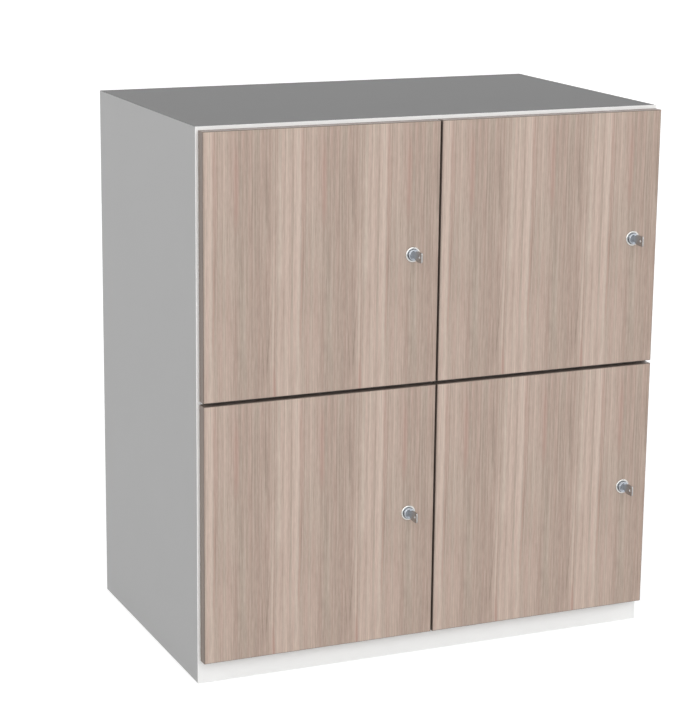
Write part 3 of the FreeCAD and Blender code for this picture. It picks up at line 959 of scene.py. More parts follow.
@dataclass(frozen=True)
class Beech(Surface):
    """Raw beech of the dowels: pale, with short darker flecks along the grain."""

    pale: Colour = srgb(214, 178, 140)
    fleck: Colour = srgb(170, 128, 92)
    grain: Speckle = Speckle(1, 3, stretch=(60, 900, 900))
    fading: tuple[float, float] = (0.35, 0.6)
    matt: tuple[float, float] = (0.6, 0.75)
    relief: float = 0.05 * MM

    def inputs(self, shader: Shader) -> dict:
        """Fleck the wood along the dowels.

        Args:
            shader: the material under construction.

        Returns:
            The surface's inputs.
        """
        grain = shader.speckle(self.grain)
        return {"Base Color": shader.fade(grain, self.fading, self.fleck, self.pale),
                "Roughness": shader.span(grain, *self.matt), "Normal": shader.bump(grain, self.relief)}


@dataclass(frozen=True)
class SoftClear(Surface):
    """Clear soft plastic of the door bumpers, a little cloudy."""

    clear: Colour = srgb(238, 240, 240)
    cloudy: Colour = srgb(214, 218, 220)
    haze: Speckle = Speckle(600)
    fading: tuple[float, float] = (0.3, 0.7)
    matt: tuple[float, float] = (0.2, 0.35)
    clearness: float = 0.55
    bending: float = 1.49

    def inputs(self, shader: Shader) -> dict:
        """Cloud the plastic.

        Args:
            shader: the material under construction.

        Returns:
            The surface's inputs.
        """
        haze = shader.speckle(self.haze)
        return {"Base Color": shader.fade(haze, self.fading, self.cloudy, self.clear),
                "Roughness": shader.span(haze, *self.matt),
                "Transmission Weight": self.clearness, "IOR": self.bending}


class FinishBook:
    """Every finish of the locker but the doors' decor, built once."""

    def __init__(self) -> None:
        """Build the materials."""
        brushed = Speckle(stretch=(300, 300, 40))
        # Painted shade: the carcass boards are white melamine, drawn in the grey that their side faces take
        # in shade
        self.board = Finish("carcass_board", Melamine(srgb(178, 178, 178)).material("grey_melamine"))
        # Painted shade: the top board is drawn a darker grey again, as its top face looks with less light on
        # it
        self.top = Finish("top_board", Melamine(srgb(122, 122, 122)).material("dark_grey_melamine"))
        self.white = Finish("white_facing", Melamine(srgb(252, 252, 251), 0.005).material("white_edging"))
        # Painted shade: the door edging is the decor drawn darker, as its edges look in shade
        self.edge = Finish("door_edging", EdgeDecor().material("door_edge_decor"))
        self.hinge = Finish("hinge_steel", Metal(srgb(205, 205, 202), 0.24).material("nickel_plated_steel"))
        self.screw = Finish("screw_steel", Metal(srgb(188, 190, 194), 0.3).material("zinc_plated_steel"))
        self.rosette = Finish("lock_nickel", Metal(srgb(203, 202, 199), 0.22).material("bright_nickel"))
        self.lock = Finish("lock_nickel", Metal(srgb(176, 182, 190), 0.26).material("satin_nickel"))
        self.key = Finish("key_metal", Metal(srgb(176, 176, 176), 0.34, brushed).material("nickel_silver"))
        self.beech = Finish("beech", Beech().material("raw_beech"))
        self.bumper = Finish("bumper_rubber", SoftClear().material("clear_soft_plastic"))


@dataclass
class Carcass:
    """Mitred outer boards, white facings, and the boards inside them."""

    finishes: FinishBook
    arris: float = 0.5 * MM
    plain_boards: tuple[str, ...] = (
        "bottom_panel", "centre_partition", "shelf_left", "shelf_right", "front_rail", "plinth_front",
        "plinth_rear", "back_panel")

    def outer_board(self, node: str, finish: Finish) -> None:
        """Break the long outer edges of one mitred board.

        Args:
            node: the board's CAD node.
            finish: its finish.
        """
        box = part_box(node)

        def outer(middle: Vector, direction: Vector) -> bool:
            """Pick the outline's edges, which lie on two sides of the board's box."""
            return sides_met(middle, box) >= 2 and max(abs(part) for part in direction) > ALIGNED

        board = Workpiece.from_node(f"worked_{node}", node)
        board.rounded(outer, self.arris, segments=2).fitted(CARCASS, finish, node)

    def strip(self, name: str, low: Triple, high: Triple) -> Workpiece:
        """One facing strip with its front arrises rounded."""
        made = Workpiece.block(name, low, high)
        return made.rounded(lambda middle, direction: middle.y < low[1] + TOUCH, self.arris)

    def facings(self) -> None:
        """Make the top and base facings and the front edgings of the boards."""
        white = self.finishes.white
        for node in ("top_facing", "base_facing"):
            self.strip(f"{node}_strip", *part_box(node)).fitted(CARCASS, white, node)
        start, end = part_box("front_edgings")
        made = []
        for node in ("side_left", "side_right", "centre_partition", "shelf_left", "shelf_right"):
            low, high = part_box(node)
            bottom, top = (low.z, high.z) if node.startswith("shelf") else (start.z, end.z)
            made.append(self.strip("front_edging_strips", (low.x, start.y, bottom), (high.x, end.y, top)))
        made[0].joined(*made[1:]).fitted(CARCASS, white, "front_edgings")

    def build(self) -> None:
        """Make the facings and outer boards, and finish the boards inside."""
        book = self.finishes
        for node, finish in (("side_left", book.board), ("side_right", book.board), ("top_panel", book.top)):
            self.outer_board(node, finish)
        self.facings()
        for node in self.plain_boards:
            dress(node, book.board.material)
        dress("dowels", book.beech.material)
        dress("hinge_pins", book.hinge.material)


@dataclass
class DoorPlace:
    """Where one door and its fittings are."""

    column: Column
    row: Row
    pin_inset: float = 8 * MM
    pin_depth: float = 6.8 * MM
    hinge_margin: float = 80 * MM

    @property
    def name(self) -> str:
        """The door's name, as its nodes begin."""
        return f"{self.row.value}_{self.column.value}"

    @property
    def box(self) -> tuple[Vector, Vector]:
        """The leaf's lowest and highest corners."""
        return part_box(f"{self.name}_door_edgings")

    @property
    def hinge_face(self) -> float:
        """Where the board face is that carries the hinges."""
        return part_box("side_left" if self.column is Column.LEFT else "centre_partition")[1].x

    @property
    def strike_face(self) -> float:
        """Where the board face is that carries the strike."""
        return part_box("centre_partition" if self.column is Column.LEFT else "side_right")[0].x

    @property
    def lock(self) -> Vector:
        """Where the lock's axis meets the door's front face."""
        low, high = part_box(f"{self.name}_rosette")
        return Vector(((low.x + high.x) / 2, self.box[0].y, (low.z + high.z) / 2))

    @property
    def pins(self) -> list[Vector]:
        """The middles of the two hinge pins.

        Returns:
            The lower and the upper one.
        """
        low, high = self.box
        return [Vector((low.x + self.pin_inset, low.y + self.pin_depth, height))
                for height in (low.z + self.hinge_margin, high.z - self.hinge_margin)]


@dataclass
class DoorLeaf:
    """Decor board inside its edging."""

    place: DoorPlace
    finishes: FinishBook
    edging: float = 1 * MM
    arris: float = 0.8 * MM

    def build(self) -> None:
        """Finish the board and make its edging as one frame with rounded arrises."""
        name, box = self.place.name, self.place.box
        band = Workpiece.block(f"{name}_edging_band", *box)
        with band.picked(Element.FACES, running(1)):
            bpy.ops.mesh.inset(thickness=self.edging)
            bpy.ops.mesh.delete(type="FACE")

        def outline(middle: Vector, direction: Vector) -> bool:
            """Pick the edges round the front and back faces, outside the board."""
            return sides_met(middle, box, (0, 2)) > 0 and abs(direction.y) < ALIGNED

        band.closed(Ends.JOINED).rounded(outline, self.arris)
        band.fitted(f"{name}_door", self.finishes.edge, f"{name}_door_edgings")
        dress(f"{name}_door_panel", WoodDecor(box[0]).material(f"wood_decor_{name}"))


@dataclass(frozen=True)
class Screw:
    """Raised-head screw with a cross recess, drawn with its head above Z zero."""

    length: float
    head_radius: float = 3.5 * MM
    head_height: float = 2.0 * MM
    head_shares: Steps = ((1, 0), (1, 0.25), (0.93, 0.55), (0.76, 0.82), (0.5, 0.97), (0.2, 1))
    shank_radius: float = 1.95 * MM
    tip_share: float = 0.3
    recess_width: float = 0.95 * MM
    recess_length: float = 3.8 * MM
    recess_depth: float = 1.1 * MM

    def build(self) -> Workpiece:
        """Turn one screw and cut its recess.

        Returns:
            The screw as a pattern piece.
        """
        shank, tall = self.shank_radius, self.head_height
        screw = Workpiece.turned("screw_pattern", [
            (self.tip_share * shank, -self.length), (shank, -self.length + shank), (shank, 0),
            *shaped(self.head_shares, self.head_radius, tall)], Ends.CAPPED, sides=28)
        half, reach = self.recess_width / 2, self.recess_length / 2
        for wide, deep in ((half, reach), (reach, half)):
            screw.combined(Work.CUT, Workpiece.block(
                "recess", (-wide, -deep, tall - self.recess_depth), (wide, deep, tall + self.recess_depth)))
        return screw


@dataclass
class ConcealedHinge:
    """Cup, arm and mounting plate, drawn about the pin's middle with +Y towards the carcass."""

    cup_radius: float = 17.5 * MM
    bowl_radius: float = 16.5 * MM
    # Steps of the bowl's foot: in from its wall, and up from its floor
    bowl_foot: Steps = ((1.6 * MM, 0), (0.5 * MM, 0.5 * MM), (0, 1.8 * MM))
    bowl_lip: tuple[float, float] = (0.3 * MM, 0.5 * MM)
    cup_x: float = 12.5 * MM
    mouth_y: float = 12.2 * MM
    floor_y: float = -3.8 * MM
    metal: float = 1.0 * MM
    flange_radius: float = 18.5 * MM
    flange_thickness: float = 1.2 * MM
    flange_round: float = 0.4 * MM
    wing_start: float = 16.85 * MM
    wing_end: float = 30 * MM
    wing_half_width: float = 7.5 * MM
    wing_round: float = 5 * MM
    wing_hole: float = 2 * MM
    wing_break: float = 0.2 * MM
    cup_screw: Screw = Screw(3 * MM, head_height=1.2 * MM, shank_radius=1.8 * MM)
    cup_screw_z: float = 24 * MM
    cheek_half: float = 3.1 * MM
    cheek_inner: float = 8.6 * MM
    cheek_outer: float = 11.3 * MM
    cheek_play: float = 0.2 * MM
    cheek_break: float = 0.5 * MM
    bearing_half: float = 10.3 * MM
    bearing_fit: float = 0.05 * MM
    arm_half_width: float = 5 * MM
    arm_thickness: float = 2 * MM
    arm_reach: float = 19.5 * MM
    arm_straight_y: float = 19.2 * MM
    arm_corner: float = 1.8 * MM
    arm_end_round: float = 3 * MM
    crank_run: float = 9 * MM
    arm_end_y: float = 73.2 * MM
    channel_margin: float = 2.2 * MM
    channel_depth: float = 0.3 * MM
    pin_radius: float = 1.2 * MM
    knuckle_radius: float = 2.5 * MM
    plate_y: float = 37 * MM
    plate_half: float = 7 * MM
    plate_reach: float = 24 * MM
    plate_thickness: float = 2 * MM
    plate_round: float = 5 * MM
    spine_start: float = 24 * MM
    spine_end: float = 60 * MM
    spine_round: float = 1.5 * MM
    spine_margin: float = 1.8 * MM
    spine_dent: float = 0.6 * MM
    plate_height: float = 10.5 * MM
    break_width: float = 0.3 * MM

    @property
    def top_y(self) -> float:
        """Where the flange's outer face is."""
        return self.mouth_y + self.flange_thickness

    def bowl(self) -> Workpiece:
        """Turn the bowl with its flange.

        Returns:
            The bowl at its place beside the pin.
        """
        wall, outer, rim, top = self.bowl_radius, self.cup_radius, self.flange_radius, self.top_y
        floor, (flare, drop), turn = self.floor_y + self.metal, self.bowl_lip, self.flange_round
        foot = [(wall - inset, floor + rise) for inset, rise in self.bowl_foot]
        return Workpiece.turned("cup_pattern", [
            *foot, (wall, top - drop), (wall + flare, top), (rim - turn, top), (rim, top - turn),
            (rim, self.mouth_y), (outer, self.mouth_y), (outer, self.floor_y + self.metal),
            (outer - self.metal, self.floor_y)], Ends.CAPPED, sides=72).placed(at((self.cup_x, 0, 0), -1))

    def wing(self, side: int) -> Workpiece:
        """Round and drill one wing of the flange.

        Args:
            side: -1 for the lower wing and 1 for the upper.

        Returns:
            The wing, clear of the flange's own faces.
        """
        half, top = self.wing_half_width, self.top_y
        start, end = sorted((side * self.wing_start, side * self.wing_end))
        wing = Workpiece.block("wing", (self.cup_x - half, self.mouth_y + TOUCH, start),
                               (self.cup_x + half, top - TOUCH, end))
        wing.rounded(running(1, lambda middle: abs(middle.z) > self.wing_end - TOUCH),
                     self.wing_round, segments=5)
        hole = Workpiece.bar("hole", self.wing_hole, self.mouth_y - MM, top + MM, sides=24)
        hole.placed(at((self.cup_x, 0, side * self.cup_screw_z), -1))
        return wing.softened(self.wing_break).combined(Work.CUT, hole)

    def cheek(self, side: int) -> Workpiece:
        """Shape one of the two cheeks that hold the pin inside the bowl.

        Args:
            side: -1 for the lower cheek and 1 for the upper.

        Returns:
            The cheek, trimmed inside the cup's wall.
        """
        half = self.cheek_half
        start, end = sorted((side * self.cheek_inner, side * self.cheek_outer))
        trim = Workpiece.bar("trim", self.cup_radius - self.cheek_play, self.floor_y, self.top_y, sides=72)
        trim.placed(at((self.cup_x, 0, 0), -1))
        cheek = Workpiece.block("cheek", (-half, -half, start), (half, half, end)).softened(self.cheek_break)
        return cheek.combined(Work.TRIM, trim)

    def cup(self) -> Workpiece:
        """Add wings and cheeks to the bowl, bore it for the pin and fix two screws.

        Returns:
            The cup as a pattern piece.
        """
        cup = self.bowl()
        for side in (-1, 1):
            cup.combined(Work.FUSE, self.wing(side), self.cheek(side))
        bearing = Workpiece.bar("bearing", self.pin_radius + self.bearing_fit, -self.bearing_half,
                                self.bearing_half, sides=24)
        cup.combined(Work.CUT, bearing).cleaned()
        screw = self.cup_screw.build()
        heads = [screw.copied("cup_screw", at((self.cup_x, self.top_y, side * self.cup_screw_z), -1))
                 for side in (-1, 1)]
        screw.removed()
        return cup.joined(*heads)

    def arm(self, crank: float) -> Workpiece:
        """Fold the arm from the pin out of the cup and back over the plate.

        Args:
            crank: how far the arm steps in towards its board.

        Returns:
            The arm as a pattern piece.
        """
        half, thick, bend = self.arm_half_width, self.arm_thickness, self.arm_straight_y
        inner = self.arm_reach - thick / 2
        arm = Workpiece.block("arm_pattern", (0, -thick / 2, -half), (inner, thick / 2, half))
        arm.extruded(facing(0, 1), (thick, 0, 0))
        arm.extruded(facing(1, 1, lambda middle: middle.x > inner), (0, bend - thick / 2, 0))
        arm.extruded(facing(1, 1, lambda middle: middle.y > thick), (-crank, self.crank_run, 0))
        arm.extruded(facing(1, 1, lambda middle: middle.y > bend + thick),
                     (0, self.arm_end_y - bend - self.crank_run, 0))
        arm.rounded(running(2, lambda middle: middle.x > inner + TOUCH and middle.y < 0),
                    self.arm_corner, segments=4)
        arm.rounded(running(0, lambda middle: middle.y > self.arm_end_y - TOUCH),
                    self.arm_end_round, segments=4)
        arm.recessed(facing(0, 1, lambda middle: middle.y > bend + self.crank_run),
                     self.channel_margin, self.channel_depth)
        arm.combined(Work.FUSE, Workpiece.bar("knuckle", self.knuckle_radius, -half, half, sides=32))
        arm.combined(Work.CUT, Workpiece.bar("eye", self.pin_radius, -2 * half, 2 * half, sides=24))
        return arm.softened(self.break_width)

    def plate(self) -> Workpiece:
        """Fuse the winged foot and the spine of the mounting plate.

        Returns:
            The plate as a pattern piece, drawn about its board's face at the carcass front.
        """
        wing = Workpiece.block("plate_pattern", (0, self.plate_y - self.plate_half, -self.plate_reach),
                               (self.plate_thickness, self.plate_y + self.plate_half, self.plate_reach))
        wing.rounded(running(0), self.plate_round, segments=5)
        spine = Workpiece.block("spine", (0, self.spine_start, -self.arm_half_width),
                                (self.plate_height, self.spine_end, self.arm_half_width))
        spine.rounded(running(0), self.spine_round)
        spine.recessed(running(2), self.spine_margin, self.spine_dent)
        return wing.combined(Work.FUSE, spine).softened(self.break_width)


@dataclass
class HingeFitting:
    """All hinges of the locker, with the screws that hold them."""

    doors: list[DoorPlace]
    finishes: FinishBook
    pattern: ConcealedHinge = field(default_factory=ConcealedHinge)
    foot_screw: Screw = Screw(14 * MM)
    arm_screw: Screw = Screw(9 * MM)
    screw_spacing: float = 32 * MM
    arm_screw_y: float = 50 * MM
    arm_screw_sink: float = 0.3 * MM
    cranks: tuple[tuple[Column, float], ...] = ((Column.LEFT, 0.0), (Column.RIGHT, 8 * MM))

    def build(self) -> None:
        """Make cups for the doors, and arms, plates and screws for the carcass."""
        book, hinge = self.finishes, self.pattern
        cup, plate = hinge.cup(), hinge.plate()
        arms = {column: hinge.arm(crank) for column, crank in self.cranks}
        foot_screw, arm_screw = self.foot_screw.build(), self.arm_screw.build()
        for door in self.doors:
            set_out(f"{door.name}_cups", book.hinge, f"{door.name}_hinge_cups",
                    [(cup, at(pin)) for pin in door.pins], f"{door.name}_door")
        pins = [(door, pin) for door in self.doors for pin in door.pins]
        set_out("arms", book.hinge, "hinge_arms", [(arms[door.column], at(pin)) for door, pin in pins])
        set_out("plates", book.hinge, "mounting_plates", [
            (plate, at((door.hinge_face, FRONT, pin.z))) for door, pin in pins])
        set_out("foot_screws", book.screw, "plate_screws", [
            (foot_screw, at((door.hinge_face + hinge.plate_thickness, FRONT + hinge.plate_y,
                             pin.z + side * self.screw_spacing / 2), 1, "Y"))
            for door, pin in pins for side in (-1, 1)])
        set_out("clamp_screws", book.screw, "arm_screws", [
            (arm_screw, at((door.hinge_face + hinge.plate_height + hinge.arm_thickness - self.arm_screw_sink,
                            FRONT + self.arm_screw_y, pin.z), 1, "Y")) for door, pin in pins])
        for pattern in (cup, plate, foot_screw, arm_screw, *arms.values()):
            pattern.removed()


@dataclass
class CamLock:
    """Rosette, housing, nut, cylinder, cam and key, drawn about the lock's axis, +Z out of the door."""

    rosette_radius: float = 12.5 * MM
    rosette_thickness: float = 1.8 * MM
    rosette_play: float = 0.35 * MM
    # Steps of the rosette's edges: in from the rim or out from the bore, and their share of its thickness
    rosette_rim: Steps = ((0, 0), (0, 0.3), (0.15 * MM, 0.6), (0.5 * MM, 0.85), (1.1 * MM, 1))
    rosette_bore: Steps = ((0.6 * MM, 1), (0.2 * MM, 0.85), (0, 0.6))
    head_radius: float = 9 * MM
    head_z: float = 6.8 * MM
    # Steps of the head's face: in from its rim, and down from its top
    head_face: Steps = ((0, 1.0 * MM), (0.12 * MM, 0.5 * MM), (0.5 * MM, 0.12 * MM), (1.0 * MM, 0),
                        (1.7 * MM, 0), (2.0 * MM, 0.25 * MM), (4.5 * MM, 0.3 * MM))
    seat_z: float = -3.95 * MM
    core_radius: float = 7 * MM
    fit: float = 0.05 * MM
    barrel_radius: float = 11 * MM
    barrel_end: float = -27 * MM
    barrel_break: float = 0.4 * MM
    thread_pitch: float = 0.8 * MM
    thread_depth: float = 0.35 * MM
    thread_runout: float = 0.9 * MM
    door_back: float = -19 * MM
    nut_width: float = 28 * MM
    nut_thickness: float = 4 * MM
    nut_corner: float = 1.2 * MM
    tail_half: float = 3.5 * MM
    tail_length: float = 4 * MM
    tail_break: float = 0.4 * MM
    tail_screw: Screw = Screw(1 * MM, head_height=1.4 * MM)
    cam_high: float = -27.3 * MM
    cam_low: float = -29.8 * MM
    cam_half: float = 8 * MM
    cam_length: float = 24 * MM
    break_width: float = 0.35 * MM
    key_half: float = 1.1 * MM
    key_break: float = 0.2 * MM
    blade_half: float = 4 * MM
    blade_length: float = 22 * MM
    blade_play: float = 0.5 * MM
    tip_round: float = 1.6 * MM
    bow_z: float = 7.1 * MM
    bow_length: float = 27 * MM
    bow_half: float = 8.5 * MM
    neck_half: float = 4.5 * MM
    neck_step: float = 0.25 * MM
    shoulder: float = 9 * MM
    bow_round: float = 3 * MM
    hole_radius: float = 2.5 * MM
    hole_margin: float = 7 * MM
    notches: int = 4
    notch_start: float = 4 * MM
    notch_pitch: float = 4 * MM
    notch_half_width: float = 1.2 * MM
    notch_depth: float = 1.3 * MM
    groove_depth: float = 0.5 * MM
    groove_low: float = 0.6 * MM
    groove_high: float = 1.9 * MM
    # How far the tools that go through the key reach past its middle
    tool_reach: float = 5.5 * MM

    def rosette(self) -> Workpiece:
        """Turn the ring, its rim rolled down to the door.

        Returns:
            The ring as a pattern piece.
        """
        bore, rim, tall = self.head_radius + self.rosette_play, self.rosette_radius, self.rosette_thickness
        return Workpiece.turned("rosette_pattern", [
            (bore, 0), *((rim - inset, share * tall) for inset, share in self.rosette_rim),
            *((bore + inset, share * tall) for inset, share in self.rosette_bore)], Ends.JOINED, sides=80)

    def housing(self) -> Workpiece:
        """Turn the threaded barrel, counterbored for the head.

        Returns:
            The barrel as a pattern piece.
        """
        bore, wide, out = self.core_radius + self.fit, self.head_radius + self.fit, self.barrel_radius
        thread = []
        level = self.door_back
        while level > self.barrel_end + self.thread_runout:
            thread += [(out, level), (out - self.thread_depth, level - self.thread_pitch / 2)]
            level -= self.thread_pitch
        return Workpiece.turned("housing_pattern", [
            (wide, 0), (out, 0), *thread, (out - self.barrel_break, self.barrel_end),
            (bore, self.barrel_end), (bore, self.seat_z - self.fit), (wide, self.seat_z - self.fit)],
            Ends.JOINED)

    def nut(self) -> Workpiece:
        """Round a hexagon's corners and bore it for the barrel.

        Returns:
            The nut as a pattern piece.
        """
        low = self.door_back - self.nut_thickness
        nut = Workpiece.bar("nut_pattern", self.nut_width / math.sqrt(3), low, self.door_back, sides=6)
        nut.placed(at((0, 0, 0), 1 / 3, "Z")).rounded(running(2), self.nut_corner)
        nut.combined(Work.CUT, Workpiece.bar("bore", self.barrel_radius, 2 * low, 0, sides=64))
        return nut.softened(self.break_width)

    def cylinder(self) -> Workpiece:
        """Turn head and core in one, add the square tail and its screw, and cut the key's slot.

        Returns:
            The cylinder as a pattern piece.
        """
        head, core, top = self.head_radius, self.core_radius, self.head_z
        tail, end = self.tail_half, self.barrel_end - self.tail_length
        cylinder = Workpiece.turned("cylinder_pattern", [
            (core, self.barrel_end), (core, self.seat_z), (head, self.seat_z),
            *((head - inset, top - drop) for inset, drop in self.head_face)], Ends.CAPPED, sides=80)
        cylinder.combined(Work.FUSE, Workpiece.block(
            "tail", (-tail, -tail, end), (tail, tail, self.barrel_end + MM)).softened(self.tail_break))
        wide, deep = self.key_half + self.fit, self.blade_half + self.fit
        low = top - self.blade_length - self.blade_play
        cylinder.combined(Work.CUT, Workpiece.block("slot", (-wide, -deep, low), (wide, deep, 2 * top)))
        return cylinder.cleaned().joined(self.tail_screw.build().placed(at((0, 0, end), 2)))

    def cam(self) -> Workpiece:
        """Round the ends of the finger, and cut its square for the tail.

        Returns:
            The cam as a pattern piece.
        """
        half, square, low = self.cam_half, self.tail_half, self.cam_low
        cam = Workpiece.block("cam_pattern", (-half, -self.cam_length, low), (half, half, self.cam_high))
        cam.rounded(running(2), half - TOUCH, segments=10)
        cam.combined(Work.CUT, Workpiece.block("square", (-square, -square, 2 * low), (square, square, 0)))
        return cam.softened(self.break_width)

    def notch(self, number: int) -> Workpiece:
        """Make the tool for one notch in the blade's edge.

        Args:
            number: which notch, counted from the head.

        Returns:
            A square bar turned on its corner.
        """
        level = self.head_z - self.notch_start - number * self.notch_pitch - self.notch_half_width
        reach = math.sqrt(0.5)
        notch = Workpiece.block("notch", (-self.tool_reach, -0.5, -0.5), (self.tool_reach, 0.5, 0.5))
        notch.placed(at((0, 0, 0), 1 / 2))
        return notch.placed(Matrix.Translation((0, -self.blade_half, level)) @ Matrix.Diagonal(
            (1, self.notch_depth / reach, self.notch_half_width / reach, 1)))

    def key(self) -> Workpiece:
        """Shape the bow and the notched and grooved blade.

        Returns:
            The key as a pattern piece.
        """
        half, wide, out = self.key_half, self.bow_half, self.bow_z + self.bow_length
        neck, tip = self.bow_z + self.shoulder, self.head_z - self.blade_length
        step = self.bow_z - self.neck_step
        key = Workpiece.block("key_pattern", (-half, -wide, neck), (half, wide, out))
        inner = facing(2, -1)
        key.extruded(inner, (0, 0, -self.shoulder), (1, self.neck_half / wide, 1), (0, 0, self.bow_z))
        key.extruded(inner, (0, 0, -self.neck_step), (1, self.blade_half / self.neck_half, 1), (0, 0, step))
        key.extruded(inner, (0, 0, tip - step))
        key.rounded(running(0, lambda middle: abs(middle.y) > wide - TOUCH), self.bow_round, segments=6)
        key.rounded(running(0, lambda middle: middle.z < tip + TOUCH), self.tip_round, segments=1)
        hole = Workpiece.bar("hole", self.hole_radius, -self.tool_reach, self.tool_reach)
        key.combined(Work.CUT, hole.placed(at((0, 0, out - self.hole_margin), 1, "Y")))
        key.combined(Work.CUT, *(self.notch(number) for number in range(self.notches)))
        for side in (-1, 1):
            ends = sorted((side * (half - self.groove_depth), side * 2 * half))
            key.combined(Work.CUT, Workpiece.block(
                "groove", (ends[0], self.groove_low, 2 * tip),
                (ends[1], self.groove_high, self.bow_z - self.blade_play)))
        return key.softened(self.key_break).cleaned()


@dataclass
class LockFitting:
    """The four locks with their keys."""

    doors: list[DoorPlace]
    finishes: FinishBook
    pattern: CamLock = field(default_factory=CamLock)

    def build(self) -> None:
        """Copy each lock piece to its door, and hand it to the body that it moves with."""
        book, lock = self.finishes, self.pattern
        fits = {
            "rosette": (lock.rosette(), "door", book.rosette, "rosette_ring"),
            "lock_housing": (lock.housing(), "door", book.lock, "lock_barrel"),
            "lock_nut": (lock.nut(), "door", book.lock, "clamping_nut"),
            "lock_cylinder": (lock.cylinder(), "cylinder", book.lock, "cylinder_head"),
            "lock_cam": (lock.cam(), "cylinder", book.hinge, "locking_cam"),
            "key": (lock.key(), "key", book.key, "flat_key"),
        }
        for door in self.doors:
            for part, (pattern, body, finish, title) in fits.items():
                pattern.copied(f"{door.name}_{title}", at(door.lock, 1)).fitted(
                    f"{door.name}_{body}", finish, f"{door.name}_{part}")
        for pattern, *_ in fits.values():
            pattern.removed()


@dataclass
class StrikeFitting:
    """Angle strikes behind the locks, their screws, and the bumpers that the doors close on."""

    doors: list[DoorPlace]
    finishes: FinishBook
    thickness: float = 2 * MM
    setback: float = 2.7 * MM
    leg_length: float = 22 * MM
    leg_half: float = 19 * MM
    leg_round: float = 4 * MM
    flange_half: float = 12 * MM
    flange_round: float = 3 * MM
    break_width: float = 0.35 * MM
    reaches: tuple[tuple[Column, float], ...] = ((Column.LEFT, 19 * MM), (Column.RIGHT, 11 * MM))
    screw: Screw = Screw(14 * MM)
    screw_setback: float = 16 * MM
    screw_spacing: float = 24 * MM
    bumper_radius: float = 3 * MM
    bumper_height: float = 2.7 * MM
    bumper_shares: Steps = ((1, 0), (1, 0.3), (0.96, 0.6), (0.8, 0.84), (0.5, 0.97), (0.2, 1))
    bumper_margin: float = 30 * MM

    def strike(self, reach: float) -> Workpiece:
        """Draw the flange out of its leg, about the board's face at the carcass front.

        Args:
            reach: how far the flange stands off the board.

        Returns:
            The strike as a pattern piece.
        """
        thick, near, half = self.thickness, self.setback, self.leg_half
        strike = Workpiece.block("strike_pattern", (-thick, near, -half), (0, near + self.leg_length, half))
        strike.rounded(running(0, lambda middle: middle.y > near + thick), self.leg_round, segments=5)
        for level in (-self.flange_half, self.flange_half):
            strike.scored((0, 0, level), (0, 0, 1))
        strike.scored((0, near + thick, 0), (0, 1, 0))
        strike.extruded(facing(0, -1, lambda middle: middle.y < near + thick
                               and abs(middle.z) < self.flange_half), (thick - reach, 0, 0))
        strike.rounded(running(1, lambda middle: middle.x < TOUCH - reach), self.flange_round, segments=5)
        return strike.softened(self.break_width)

    def build(self) -> None:
        """Copy strikes, screws and domed bumpers to their places."""
        book = self.finishes
        strikes = {column: self.strike(reach) for column, reach in self.reaches}
        dome = shaped(self.bumper_shares, self.bumper_radius, self.bumper_height)
        screw, bumper = self.screw.build(), Workpiece.turned("bumper_pattern", dome, Ends.CAPPED, sides=32)
        set_out("angle_strikes", book.hinge, "strike_plates", [
            (strikes[door.column], at((door.strike_face, FRONT, door.lock.z))) for door in self.doors])
        set_out("strike_fixings", book.screw, "strike_screws", [
            (screw, at((door.strike_face - self.thickness, FRONT + self.screw_setback,
                        door.lock.z + side * self.screw_spacing / 2), -1, "Y"))
            for door in self.doors for side in (-1, 1)])
        set_out("door_bumpers", book.bumper, "bumpers", [
            (bumper, at(((door.strike_face + door.box[1].x) / 2, FRONT, height), 1)) for door in self.doors
            for height in (door.box[0].z + self.bumper_margin, door.box[1].z - self.bumper_margin)])
        for pattern in (*strikes.values(), screw, bumper):
            pattern.removed()


@dataclass(frozen=True)
class SoftSun:
    """One wide, far lamp, placed by its bearing from the doors' side and its height above the floor."""

    name: str
    bearing: float
    elevation: float
    strength: float
    spread: float = 70.0
    distance: float = 5.0

    def build(self) -> None:
        """Add the lamp, turned to the locker."""
        data = bpy.data.lights.new(self.name, "SUN")
        data.energy = self.strength
        data.angle = math.radians(self.spread)
        holder = bpy.data.objects.new(self.name, data)
        bearing, elevation = math.radians(self.bearing), math.radians(self.elevation)
        place = Vector((math.sin(bearing) * math.cos(elevation), -math.cos(bearing) * math.cos(elevation),
                        math.sin(elevation)))
        holder.location = place * self.distance
        holder.rotation_euler = (-place).to_track_quat("-Z", "Y").to_euler()
        bpy.context.scene.collection.objects.link(holder)
        log.info("%s at %g", self.name, self.strength)


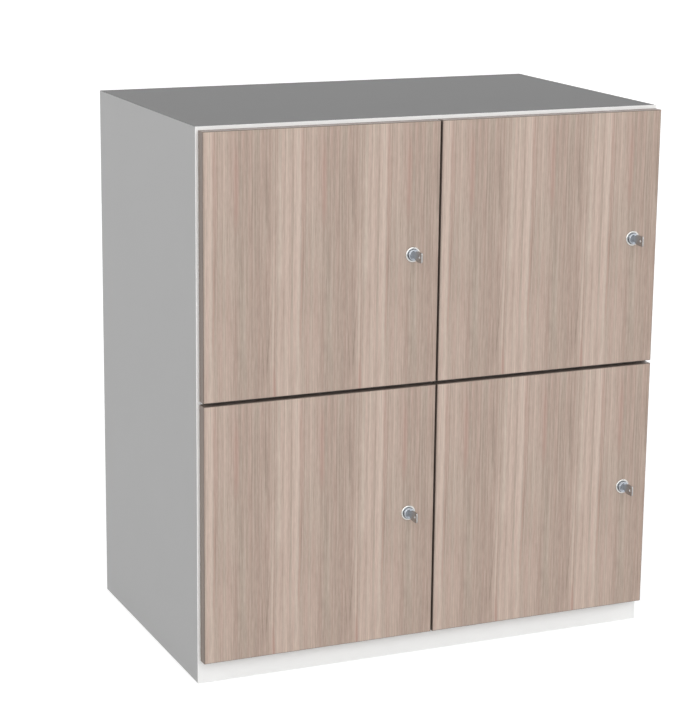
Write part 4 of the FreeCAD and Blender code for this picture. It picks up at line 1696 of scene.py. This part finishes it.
@dataclass
class Studio:
    """Plain pale floor, white surroundings and soft lamps all round."""

    ambient: float = 0.26
    floor_size: float = 60.0
    floor_drop: float = 0.2 * MM
    floor_tone: float = 0.62
    lamps: tuple[SoftSun, ...] = (
        SoftSun("front_lamp", -8, 18, 1.88),
        SoftSun("left_lamp", -92, 12, 1.62),
        SoftSun("right_lamp", 88, 12, 1.5),
        SoftSun("rear_lamp", 178, 12, 1.5),
    )

    def choice(self, sheet: NodeSheet, lighting: object, seen: object) -> object:
        """Choose between two looks, one as light and one to look at.

        Args:
            sheet: the node tree under construction.
            lighting: the look that lights the locker.
            seen: what the camera, a mirror or clear plastic shows.

        Returns:
            The chosen look's socket.
        """
        rays = sheet.node("ShaderNodeLightPath", {}).outputs
        total = rays["Is Camera Ray"]
        for name in ("Is Glossy Ray", "Is Transmission Ray"):
            total = sheet.math("MAXIMUM", total, rays[name])
        return sheet.node("ShaderNodeMixShader", {0: total, 1: lighting, 2: seen}).outputs[0]

    def surroundings(self) -> None:
        """White to look at, and dimmer as light."""
        world = bpy.data.worlds.new("studio_surroundings")
        world.use_nodes = True
        sheet = NodeSheet(world.node_tree)
        looks = [sheet.node("ShaderNodeBackground", {"Color": (1, 1, 1, 1), "Strength": strength}).outputs[0]
                 for strength in (self.ambient, 1.0)]
        sheet.node("ShaderNodeOutputWorld", {"Surface": self.choice(sheet, *looks)})
        bpy.context.scene.world = world

    def floor(self) -> None:
        """A wide pale floor that fades to white where no shadow lies."""
        deselect()
        bpy.ops.mesh.primitive_plane_add(size=self.floor_size, location=(0, 0, -self.floor_drop))
        floor = bpy.context.object
        floor.name = "studio_floor"
        sheet = Shader("studio_floor")
        tone = (self.floor_tone, self.floor_tone, self.floor_tone, 1)
        matt = sheet.node("ShaderNodeBsdfDiffuse", {"Color": tone}).outputs[0]
        lift = sheet.node("ShaderNodeEmission", {"Strength": self.floor_tone}).outputs[0]
        lit = sheet.node("ShaderNodeAddShader", {0: matt, 1: lift}).outputs[0]
        sheet.node("ShaderNodeOutputMaterial", {"Surface": self.choice(sheet, matt, lit)})
        floor.data.materials.append(sheet.material)

    def build(self) -> None:
        """Set the colour view, the surroundings, the floor and the lamps."""
        bpy.context.scene.view_settings.view_transform = "Standard"
        self.surroundings()
        self.floor()
        for lamp in self.lamps:
            lamp.build()


@dataclass(frozen=True)
class PhotoCamera:
    """The photograph's viewpoint, found from the locker's straight edges."""

    place: tuple[float, float, float] = (-1.5143, -3.3221, 1.3431)
    forward: tuple[float, float, float] = (0.386377, 0.89289, -0.231215)
    roll_degrees: float = 0.5762
    lens: float = 110.453
    sensor: float = 36.0
    shift: tuple[float, float] = (0.01956, -0.02429)

    def build(self) -> None:
        """Add the camera and make it the scene's own."""
        data = bpy.data.cameras.new("photo_camera")
        data.sensor_width = self.sensor
        data.lens = self.lens
        data.shift_x, data.shift_y = self.shift
        holder = bpy.data.objects.new("photo_camera", data)
        bpy.context.scene.collection.objects.link(holder)
        holder.rotation_mode = "QUATERNION"
        holder.location = self.place
        roll = Quaternion((0, 0, 1), math.radians(self.roll_degrees))
        holder.rotation_quaternion = Vector(self.forward).to_track_quat("-Z", "Y") @ roll
        bpy.context.scene.camera = holder


def main() -> None:
    """Build the studio and the locker's looks."""
    logging.basicConfig(level=logging.INFO, format="%(name)s: %(message)s")
    PhotoCamera().build()
    Studio().build()
    finishes = FinishBook()
    doors = [DoorPlace(column, row) for column in Column for row in Row]
    Carcass(finishes).build()
    for door in doors:
        DoorLeaf(door, finishes).build()
    HingeFitting(doors, finishes).build()
    StrikeFitting(doors, finishes).build()
    LockFitting(doors, finishes).build()
    deselect()


if __name__ == "__main__":
    main()
